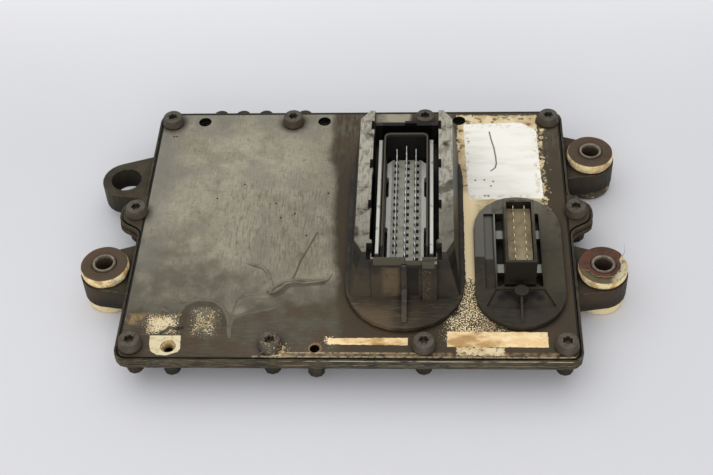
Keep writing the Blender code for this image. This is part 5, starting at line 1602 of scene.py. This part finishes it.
def cover_edge() -> list[Point]:
    """Follows the cover plate's outer edge.

    Returns:
        Its corners, in order round it, in millimetres.
    """
    bm = bmesh.new()
    bm.from_mesh(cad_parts["cover_plate"].data)
    bmesh.ops.remove_doubles(bm, verts=bm.verts, dist=NEAR)
    level = [edge for edge in bm.edges if all(abs(v.co.z - COVER_TOP) < NEAR for v in edge.verts)]
    walls = [edge for edge in level if min(abs(face.normal.z) for face in edge.link_faces) < 0.5]
    vertex = max((v for edge in walls for v in edge.verts), key=lambda v: v.co.x)
    edge = next(edge for edge in walls if vertex in edge.verts)
    places = []
    while edge is not None:
        places.append((vertex.co.x / MM, vertex.co.y / MM))
        walls.remove(edge)
        vertex = edge.other_vert(vertex)
        edge = next((other for other in walls if vertex in other.verts), None)
    bm.free()
    area = sum(a[0] * b[1] - b[0] * a[1] for a, b in zip(places, places[1:] + places[:1]))
    return places if area > 0.0 else places[::-1]


def pushed(outline: Sequence[Point], distance: float) -> list[Point]:
    """An outline moved outwards.

    Args:
        outline: its corners, anticlockwise, in millimetres.
        distance: how far it moves, in millimetres.

    Returns:
        The new corners.
    """
    moved = []
    for index, corner in enumerate(outline):
        before, here = Vector(outline[index - 1]), Vector(corner)
        after = Vector(outline[(index + 1) % len(outline)])
        first, second = (here - before).normalized(), (after - here).normalized()
        out = Vector((first.y + second.y, -first.x - second.x)).normalized()
        moved.append(tuple(here + out * distance / out.dot(Vector((first.y, -first.x)))))
    return moved


def circle_points(x: float, y: float, radius: float, count: int) -> list[Point]:
    """Corners round a circle, in millimetres.

    Args:
        x: its middle.
        y: its middle.
        radius: its radius.
        count: how many corners.

    Returns:
        The corners, anticlockwise from the right.
    """
    return [
        (x + radius * math.cos(2.0 * math.pi * i / count), y + radius * math.sin(2.0 * math.pi * i / count))
        for i in range(count)
    ]


def frayed(outline: Sequence[Point], step: float, depth: float, seed: float) -> list[Point]:
    """An outline with a slightly torn edge.

    Args:
        outline: the corners in millimetres.
        step: distance between the new points in millimetres.
        depth: how far the edge wanders in millimetres.
        seed: picks the pattern.

    Returns:
        The torn outline.
    """
    torn = []
    for index, first in enumerate(outline):
        start, end = Vector(first), Vector(outline[(index + 1) % len(outline)])
        count = max(1, round((end - start).length / step))
        out = Vector(((end - start).y, -(end - start).x)).normalized()
        for number in range(count):
            place = start.lerp(end, number / count)
            push = noise.noise(Vector((place.x * 0.6, place.y * 0.6, seed))) * depth
            push = push if number else 0.0
            torn.append(tuple(place + out * push))
    return torn


@dataclass(frozen=True)
class CaseDress:
    """The casting, the gasket and the cover, which keep their CAD shapes, and what is too thin for them.
    Lengths are in millimetres, save those that are written as a count of MM."""

    rim_outside: float = 1.8
    rim_gap: float = 0.6
    rim_front_gap: float = 0.25
    rim_drop: float = 0.7 * MM
    stubs: tuple[float, ...] = (-82.0, -68.9, -55.5, -32.5)
    stub_y: float = 92.2
    stub_radius: float = 4.3
    stub_rise: float = 1.2 * MM
    stub_sink: float = 1.5 * MM
    stub_steps: int = 40
    ridge_radius: float = 1.05
    ridge_flatness: float = 0.55
    flow_radius: float = 0.95
    flow_flatness: float = 0.16

    def build(self) -> None:
        """Dresses the case and lays the wrinkle on the cover."""
        dress("base_casting", DieCastAluminium())
        dress("cover_plate", FilmedSheet())
        dress("cover_gasket", MouldedRubber())
        self.rim()
        self.wrinkle()

    def rim(self) -> None:
        """The casting's thin rim, which stands round the cover with a dark gap, and its stubs' tops."""
        edge = cover_edge()
        outer = pushed(edge, self.rim_outside)
        front = min(y for _, y in edge) - self.rim_front_gap
        inner = [(x, max(y, front)) for x, y in pushed(edge, self.rim_gap)]
        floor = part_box("cover_gasket")[0].z
        bm = slab(outer, floor, COVER_TOP - self.rim_drop, inner)
        add_piece("casting_rim", bm, [DieCastAluminium()])
        bm = bmesh.new()
        for x in self.stubs:
            ring = circle_points(x, self.stub_y, self.stub_radius, self.stub_steps)
            half = ring[: self.stub_steps // 2 + 1]
            merge(bm, slab(half, floor - self.stub_sink, floor + self.stub_rise))
        add_piece("casting_stub_tops", bm, [DieCastAluminium()])

    def wrinkle(self) -> None:
        """The raised wrinkle in the cover's film, the second fold above it, and the edges of dried flows."""
        self.ridge("film_wrinkle", WRINKLE, self.ridge_radius, self.ridge_flatness)
        self.ridge("film_wrinkle_fold", WRINKLE_FOLD, self.ridge_radius, self.ridge_flatness)
        for number, points in enumerate(FLOW_RIDGES, 1):
            self.ridge(f"film_flow_edge_{number}", points, self.flow_radius, self.flow_flatness)

    def ridge(self, name: str, points: Sequence[Point], radius: float, flatness: float) -> None:
        """Lays one ridge on the cover; it tapers at both ends.

        Args:
            name: the piece's name.
            points: its line, in millimetres.
            radius: half its width in millimetres.
            flatness: its height as a share of its width.
        """
        ends = (0, len(points) - 1)
        radii = [radius * (0.4 if index in ends else 1.0) for index in range(len(points))]
        add_piece(name, swept(points, radii, COVER_TOP, flatness), [DriedFilm()], sharp=60.0)


@dataclass(frozen=True)
class CoverScrews:
    """The ten cap screws with six-lobe sockets, each turned anew on its CAD screw's place."""

    head: float = 6.1 * MM
    top: float = 4.9 * MM
    head_height: float = 5.0 * MM
    edge: float = 0.5 * MM
    socket: float = 2.5 * MM
    lobe: float = 0.35 * MM
    socket_depth: float = 2.6 * MM
    shank: float = 3.0 * MM
    steps: int = 48
    turn: float = 0.37

    def rings(self, tip: float, crown: float) -> list[Ring]:
        """The screw's outline from its tip to its socket's floor.

        Args:
            tip: height of its lower end.
            crown: height of its head.

        Returns:
            The rings.
        """
        seat = crown - self.head_height
        return [
            Ring(self.shank - self.edge, tip),
            Ring(self.shank, tip + self.edge),
            Ring(self.shank, seat),
            Ring(self.head - 0.1 * MM, seat),
            Ring(self.head, seat + 0.15 * MM),
            Ring(self.head, seat + 0.55 * MM),
            Ring(self.head - 0.14 * MM, seat + 0.9 * MM),
            Ring(self.top + 0.52 * MM, crown - 0.62 * MM),
            Ring(self.top + 0.34 * MM, crown - 0.26 * MM),
            Ring(self.top + 0.06 * MM, crown - 0.04 * MM),
            Ring(self.top - 0.3 * MM, crown),
            Ring(self.socket + 0.55 * MM, crown),
            Ring(self.socket + 0.12 * MM, crown - 0.02 * MM, self.lobe),
            Ring(self.socket, crown - 0.2 * MM, self.lobe),
            Ring(self.socket, crown - self.socket_depth, self.lobe),
        ]

    def build(self) -> None:
        """Makes the screws."""
        for number, node in enumerate(SCREW_NODES, 1):
            low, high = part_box(node)
            centre = middle(node)
            bm = turned(centre, self.rings(low.z, high.z), self.steps)
            turn = Matrix.Rotation(number * self.turn, 3, "Z")
            bmesh.ops.rotate(bm, cent=(centre[0], centre[1], 0.0), matrix=turn, verts=bm.verts)
            add_piece(node + "_turned", bm, [BlackenedSteel()], [node])


@dataclass(frozen=True)
class Bush:
    """A rubber bush and its steel sleeve in one lug. The tear's angles are in degrees. Its depth, the
    skin's reach and the fibre's path are in millimetres."""

    lug: str
    state: BushState = BushState.WHOLE
    steps: int = 72
    edge: float = 0.9 * MM
    flange: float = 6.0 * MM
    bulge: float = 0.25 * MM
    waist: float = 8.3 * MM
    bore: float = 6.8 * MM
    sleeve_radius: float = 6.5 * MM
    sleeve_bore: float = 4.8 * MM
    sleeve_edge: float = 0.35 * MM
    swell: float = 0.22 * MM
    swell_size: float = 6.0 * MM
    shrink: float = 0.16 * MM
    tear_start: float = -165.0
    tear_end: float = 35.0
    tear_blur: float = 14.0
    tear_reach: float = 0.9 * MM
    tear_gap: float = 0.2 * MM
    tear_depth: float = 0.9
    tear_rough: float = 0.3
    tear_grain: float = 3.0 * MM
    tear_sink: float = 0.35 * MM
    skin_reach: float = 12.2
    skin_lack: float = 3.3
    skin_low: float = 0.42 * MM
    skin_high: float = 0.02 * MM
    skin_steps: int = 96
    hole_steps: int = 48
    fibre: float = 0.14 * MM
    fibre_taper: float = 0.8
    fibre_foot: tuple[float, ...] = (10.3, 6.2, -0.6)
    fibre_path: tuple[tuple[float, ...], ...] = (
        (0.9, 0.7, 1.4), (0.3, 0.9, 1.7), (-0.2, 0.8, 1.8), (-0.5, 0.4, 1.5),
    )

    def rubber_rings(self, low: float, high: float, radius: float) -> list[Ring]:
        """The rubber's outline from the underside of its lower flange to its upper face.

        Args:
            low: height of its underside.
            high: height of its upper face.
            radius: its radius.

        Returns:
            The rings.
        """
        e, side, b = self.edge, radius - self.bulge, self.bulge
        return [
            Ring(self.bore, low),
            Ring(side - e, low),
            Ring(side - 0.3 * e, low + 0.3 * e),
            Ring(side, low + e),
            Ring(side + b, low + self.flange / 2.0),
            Ring(side, low + self.flange - e),
            Ring(side - 0.4 * e, low + self.flange),
            Ring(self.waist, low + self.flange),
            Ring(self.waist, high - self.flange),
            Ring(side - 0.4 * e, high - self.flange),
            Ring(side, high - self.flange + e),
            Ring(side + b, high - self.flange / 2.0),
            Ring(side, high - 1.3 * e),
            Ring(side - 0.45 * e, high - 0.45 * e),
            Ring(side - 1.1 * e, high - 0.08 * e),
            Ring(side - 2.0 * e, high),
            Ring(self.bore + 0.6 * MM, high),
            Ring(self.bore, high - 0.2 * MM),
        ]

    def sleeve_rings(self, low: float, high: float) -> list[Ring]:
        """The sleeve's outline, its bore last.

        Args:
            low: height of its lower end.
            high: height of its upper end.

        Returns:
            The rings.
        """
        radius, bore, e = self.sleeve_radius, self.sleeve_bore, self.sleeve_edge
        return [
            Ring(bore + e, low),
            Ring(radius - e, low),
            Ring(radius, low + e),
            Ring(radius, high - e),
            Ring(radius - 0.3 * e, high - 0.3 * e),
            Ring(radius - e, high),
            Ring(bore + e, high),
            Ring(bore + 0.3 * e, high - 0.3 * e),
            Ring(bore, high - e),
            Ring(bore, low + e),
        ]

    def build(self) -> None:
        """Makes the rubber and the sleeve."""
        bush, sleeve = self.lug + "_bush", self.lug + "_sleeve"
        low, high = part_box(bush)
        centre = middle(bush)
        radius = (high.x - low.x) / 2.0
        bm = turned(centre, self.rubber_rings(low.z, high.z, radius), self.steps, hollow=True)
        if self.state is BushState.TORN:
            self.tear(bm, centre, high.z)
            self.skin(centre, high.z)
            self.whisker(centre, high.z)
        self.knead(bm, centre)
        rubbers = {BushState.TORN: TornCreamRubber(), BushState.OILED: OILED_RUBBER}
        rubber = rubbers.get(self.state, CreamRubber())
        add_piece(bush + "_moulded", bm, [rubber], [bush])
        low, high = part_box(sleeve)
        bm = turned(centre, self.sleeve_rings(low.z, high.z), self.steps, hollow=True)
        add_piece(sleeve + "_turned", bm, [ZincPlatedSteel()], [sleeve])

    def knead(self, bm: Shape, centre: Point) -> None:
        """Gives the rubber's flanks the slight unevenness of an old bush.

        Args:
            bm: the rubber.
            centre: the bush's axis, in metres.
        """
        for vertex in bm.verts:
            out = Vector((vertex.co.x - centre[0], vertex.co.y - centre[1], 0.0))
            if out.length > self.waist + MM:
                swell = noise.noise(vertex.co / self.swell_size) * self.swell - self.shrink
                vertex.co += out.normalized() * swell

    def tear(self, bm: Shape, centre: Point, top: float) -> None:
        """Sinks the upper face where its skin is gone, from the front round to the right.

        Args:
            bm: the rubber.
            centre: the bush's axis, in metres.
            top: height of its upper face.
        """
        for vertex in bm.verts:
            x, y = vertex.co.x - centre[0], vertex.co.y - centre[1]
            if vertex.co.z > top - self.tear_reach and math.hypot(x, y) > self.bore + self.tear_gap:
                rough = self.tear_rough * noise.noise(vertex.co / self.tear_grain)
                depth = self.lack(math.atan2(y, x)) * (self.tear_depth + rough) * MM
                vertex.co.z -= depth + self.tear_sink

    def lack(self, angle: float) -> float:
        """How much of the skin is gone.

        Args:
            angle: a direction from the bush's axis, in radians.

        Returns:
            0 where it is whole, up to 1 where it is gone.
        """
        turn = math.degrees(angle)
        inside = min(turn - self.tear_start, self.tear_end - turn)
        return max(0.0, min(1.0, inside / self.tear_blur))

    def skin(self, centre: Point, top: float) -> None:
        """The reddish skin that still lies on the rear of the torn bush.

        Args:
            centre: the bush's axis, in metres.
            top: height of its upper face.
        """
        x, y = centre[0] / MM, centre[1] / MM
        outline = []
        for index in range(self.skin_steps):
            angle = 2.0 * math.pi * index / self.skin_steps - math.pi
            lack = self.lack(angle)
            ragged = noise.noise(Vector((math.cos(angle) * 3.0, math.sin(angle) * 3.0, 2.0))) * 0.9
            reach = self.skin_reach - lack * (self.skin_lack + ragged)
            outline.append((x + reach * math.cos(angle), y + reach * math.sin(angle)))
        hole = circle_points(x, y, self.bore / MM, self.hole_steps)
        bm = slab(outline, top - self.skin_low, top - self.skin_high, hole)
        add_piece(self.lug + "_bush_skin", bm, [TornRubberSkin()])

    def whisker(self, centre: Point, top: float) -> None:
        """A thin fibre that stands up at the tear's rear end.

        Args:
            centre: the bush's axis, in metres.
            top: height of its upper face.
        """
        bm = bmesh.new()
        verts = bmesh.ops.create_circle(bm, segments=6, radius=self.fibre)["verts"]
        right, back, up = self.fibre_foot
        foot = Vector((centre[0] + right * MM, centre[1] + back * MM, top + up * MM))
        bmesh.ops.translate(bm, vec=foot, verts=verts)
        first = bm.edges[:]
        for step in self.fibre_path:
            verts = drawn_out(bm, verts)
            bmesh.ops.translate(bm, vec=Vector(step) * MM, verts=verts)
            core = sum((v.co for v in verts), Vector()) / len(verts)
            for vertex in verts:
                vertex.co = core + (vertex.co - core) * self.fibre_taper
        bmesh.ops.holes_fill(bm, edges=first + edges_between(bm, verts), sides=0)
        bmesh.ops.recalc_face_normals(bm, faces=bm.faces)
        add_piece(self.lug + "_bush_fibre", bm, [TornRubberSkin()])


@dataclass(frozen=True)
class Headers:
    """The two connector headers, which keep their CAD shapes."""

    def build(self) -> None:
        """Dresses both mouldings, what holds their blades, and their seals."""
        dress("connector_55_housing", LargeHeaderPolyester())
        dress("connector_16_housing", SmallHeaderPolyester())
        dress("pin_carrier_55", GreyCarrierResin())
        dress("pin_carrier_16", TanInsertResin())
        dress("connector_55_seal", MouldedRubber())
        dress("connector_16_seal", MouldedRubber())


@dataclass(frozen=True)
class StuckOn:
    """What is stuck on the cover: the blank label, two strips and a tab."""

    thickness: float = 0.13 * MM
    lift: float = 0.02 * MM
    label: tuple[Point, ...] = (
        (60.2, 79.1), (61.0, 80.4), (92.6, 82.0), (94.6, 80.6), (100.3, 76.3), (101.6, 74.0), (102.0, 50.0),
        (103.0, 20.6), (101.6, 20.0), (63.4, 19.2), (62.4, 20.4), (61.4, 40.0),
    )
    short_strip: tuple[Point, ...] = ((-9.8, -78.2), (30.4, -77.8), (30.2, -82.5), (-9.6, -82.0))
    long_strip: tuple[Point, ...] = ((49.9, -73.7), (99.6, -73.9), (99.7, -83.5), (49.6, -83.3))
    tab: tuple[Point, ...] = (
        (-99.6, -76.9), (-84.0, -76.8), (-83.2, -85.2), (-84.2, -87.2), (-89.5, -89.4), (-94.5, -89.2),
        (-98.0, -86.6), (-99.3, -82.0),
    )
    tab_hole: tuple[float, float, float] = (-89.5, -83.8, 3.9)
    tab_steps: int = 32
    crust: float = 3.7 * MM
    thread: float = 2.1 * MM

    def sheet(self, name: str, outline: Sequence[Point], finish: Finish, hole: Sequence[Point] = ()) -> None:
        """Lays one sheet on the cover.

        Args:
            name: the piece's name.
            outline: its corners in millimetres.
            finish: its finish.
            hole: corners of a hole in it.
        """
        bottom = COVER_TOP + self.lift
        bm = slab(outline, bottom, bottom + self.thickness, hole)
        add_piece(name, bm, [finish])

    def build(self) -> None:
        """Makes the four sheets and the dirt in the tab's hole."""
        self.sheet("blank_label", frayed(self.label[::-1], 2.0, 0.35, 1.0), LabelFilm())
        self.sheet("paper_strip_short", frayed(self.short_strip, 1.2, 0.45, 2.0), OldPaper())
        self.sheet("paper_strip_long", frayed(self.long_strip, 1.2, 0.4, 3.0), OldPaper())
        x, y, radius = self.tab_hole
        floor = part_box("cover_gasket")[0].z
        rings = [
            Ring(self.crust, floor),
            Ring(self.crust, COVER_TOP - self.lift),
            Ring(self.crust - 0.35 * MM, COVER_TOP - 0.3 * MM),
            Ring(self.thread + 0.3 * MM, floor + 1.2 * MM),
            Ring(self.thread, floor + 0.9 * MM),
            Ring(self.thread, floor),
        ]
        bm = turned((x * MM, y * MM), rings, self.tab_steps, hollow=True)
        add_piece("tab_hole_crust", bm, [CrustedDirt()])
        hole = circle_points(x, y, radius, self.tab_steps)
        self.sheet("cream_tab", frayed(self.tab, 1.5, 0.35, 4.0), CreamTape(), hole)


@dataclass(frozen=True)
class InnerParts:
    """What lies inside the case, with no wear on it."""

    finishes: tuple[tuple[str, Finish], ...] = (
        ("circuit_board", SOLDER_MASK),
        ("board_screw_", ZINC_SCREW),
        ("processor", CHIP_EPOXY),
        ("memory_chip", CHIP_EPOXY),
        ("power_driver_", CHIP_EPOXY),
        ("capacitor_", CAN_ALUMINIUM),
        ("coil_", FERRITE),
        ("heat_pad", THERMAL_PAD),
    )

    def build(self) -> None:
        """Dresses each inner node."""
        for start, finish in self.finishes:
            for node in sorted(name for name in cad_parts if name.startswith(start)):
                dress(node, finish)


@dataclass(frozen=True)
class Studio:
    """The table, the soft light from above and behind, and the camera of the photograph. Colours are shown
    without a film curve, as the photograph's are."""

    floor_size: float = 6.0
    surround: str = "#f2f3f6"
    surround_strength: float = 0.66
    lens: float = 67.85
    sensor: float = 36.0
    elevation: float = 46.606
    yaw: float = -4.839
    roll: float = -3.553
    camera_place: tuple[float, float, float] = (0.04355, -0.50029, 0.54549)

    def build(self) -> None:
        """Makes the stage."""
        self.floor()
        self.world()
        self.area_light("overhead_softbox", (-0.3, 0.05, 1.15), 2.2, 10.8)
        self.area_light("front_softbox", (0.08, -1.3, 0.30), 1.1, 10.0)
        self.camera()

    def floor(self) -> None:
        """The table top."""
        bm = bmesh.new()
        bmesh.ops.create_grid(bm, x_segments=8, y_segments=8, size=self.floor_size / 2.0)
        mesh = bpy.data.meshes.new("table_top")
        bm.to_mesh(mesh)
        bm.free()
        mesh.materials.append(SatinTable().material())
        placed("table_top", mesh)

    def world(self) -> None:
        """An even pale surround."""
        world = bpy.data.worlds.new("pale_surround")
        world.use_nodes = True
        shade = world.node_tree.nodes["Background"]
        shade.inputs["Color"].default_value = linear(self.surround)
        shade.inputs["Strength"].default_value = self.surround_strength
        bpy.context.scene.world = world
        bpy.context.scene.view_settings.view_transform = "Standard"

    def area_light(self, name: str, place: tuple[float, float, float], size: float, power: float) -> None:
        """One square soft light that points at the unit.

        Args:
            name: its name.
            place: where it hangs, in metres.
            size: its side in metres.
            power: its power in watts.
        """
        light = bpy.data.lights.new(name, "AREA")
        light.size = size
        light.energy = power
        lamp = placed(name, light)
        lamp.location = place
        lamp.rotation_euler = (-Vector(place)).to_track_quat("-Z", "Y").to_euler()

    def camera(self) -> None:
        """The camera, from the angles that were fitted to the photograph."""
        yaw, drop, roll = (math.radians(value) for value in (self.yaw, self.elevation, self.roll))
        ahead = Vector((math.sin(yaw) * math.cos(drop), math.cos(yaw) * math.cos(drop), -math.sin(drop)))
        level = Vector((math.cos(yaw), -math.sin(yaw), 0.0))
        above = level.cross(ahead)
        right = math.cos(roll) * level + math.sin(roll) * above
        up = -math.sin(roll) * level + math.cos(roll) * above
        data = bpy.data.cameras.new("photo_camera")
        data.lens = self.lens
        data.sensor_width = self.sensor
        data.clip_start, data.clip_end = 0.01, 50.0
        camera = placed("photo_camera", data)
        turn = Matrix((right, up, -ahead)).transposed().to_4x4()
        camera.matrix_world = Matrix.Translation(self.camera_place) @ turn
        bpy.context.scene.camera = camera


def main() -> None:
    """Builds the scene, piece by piece."""
    logging.basicConfig(level=logging.INFO, format="%(name)s: %(message)s")
    Studio().build()
    CaseDress().build()
    CoverScrews().build()
    Bush("front_left").build()
    Bush("rear_right", BushState.OILED).build()
    Bush("front_right", BushState.TORN).build()
    Headers().build()
    StuckOn().build()
    InnerParts().build()


if __name__ == "__main__":
    main()
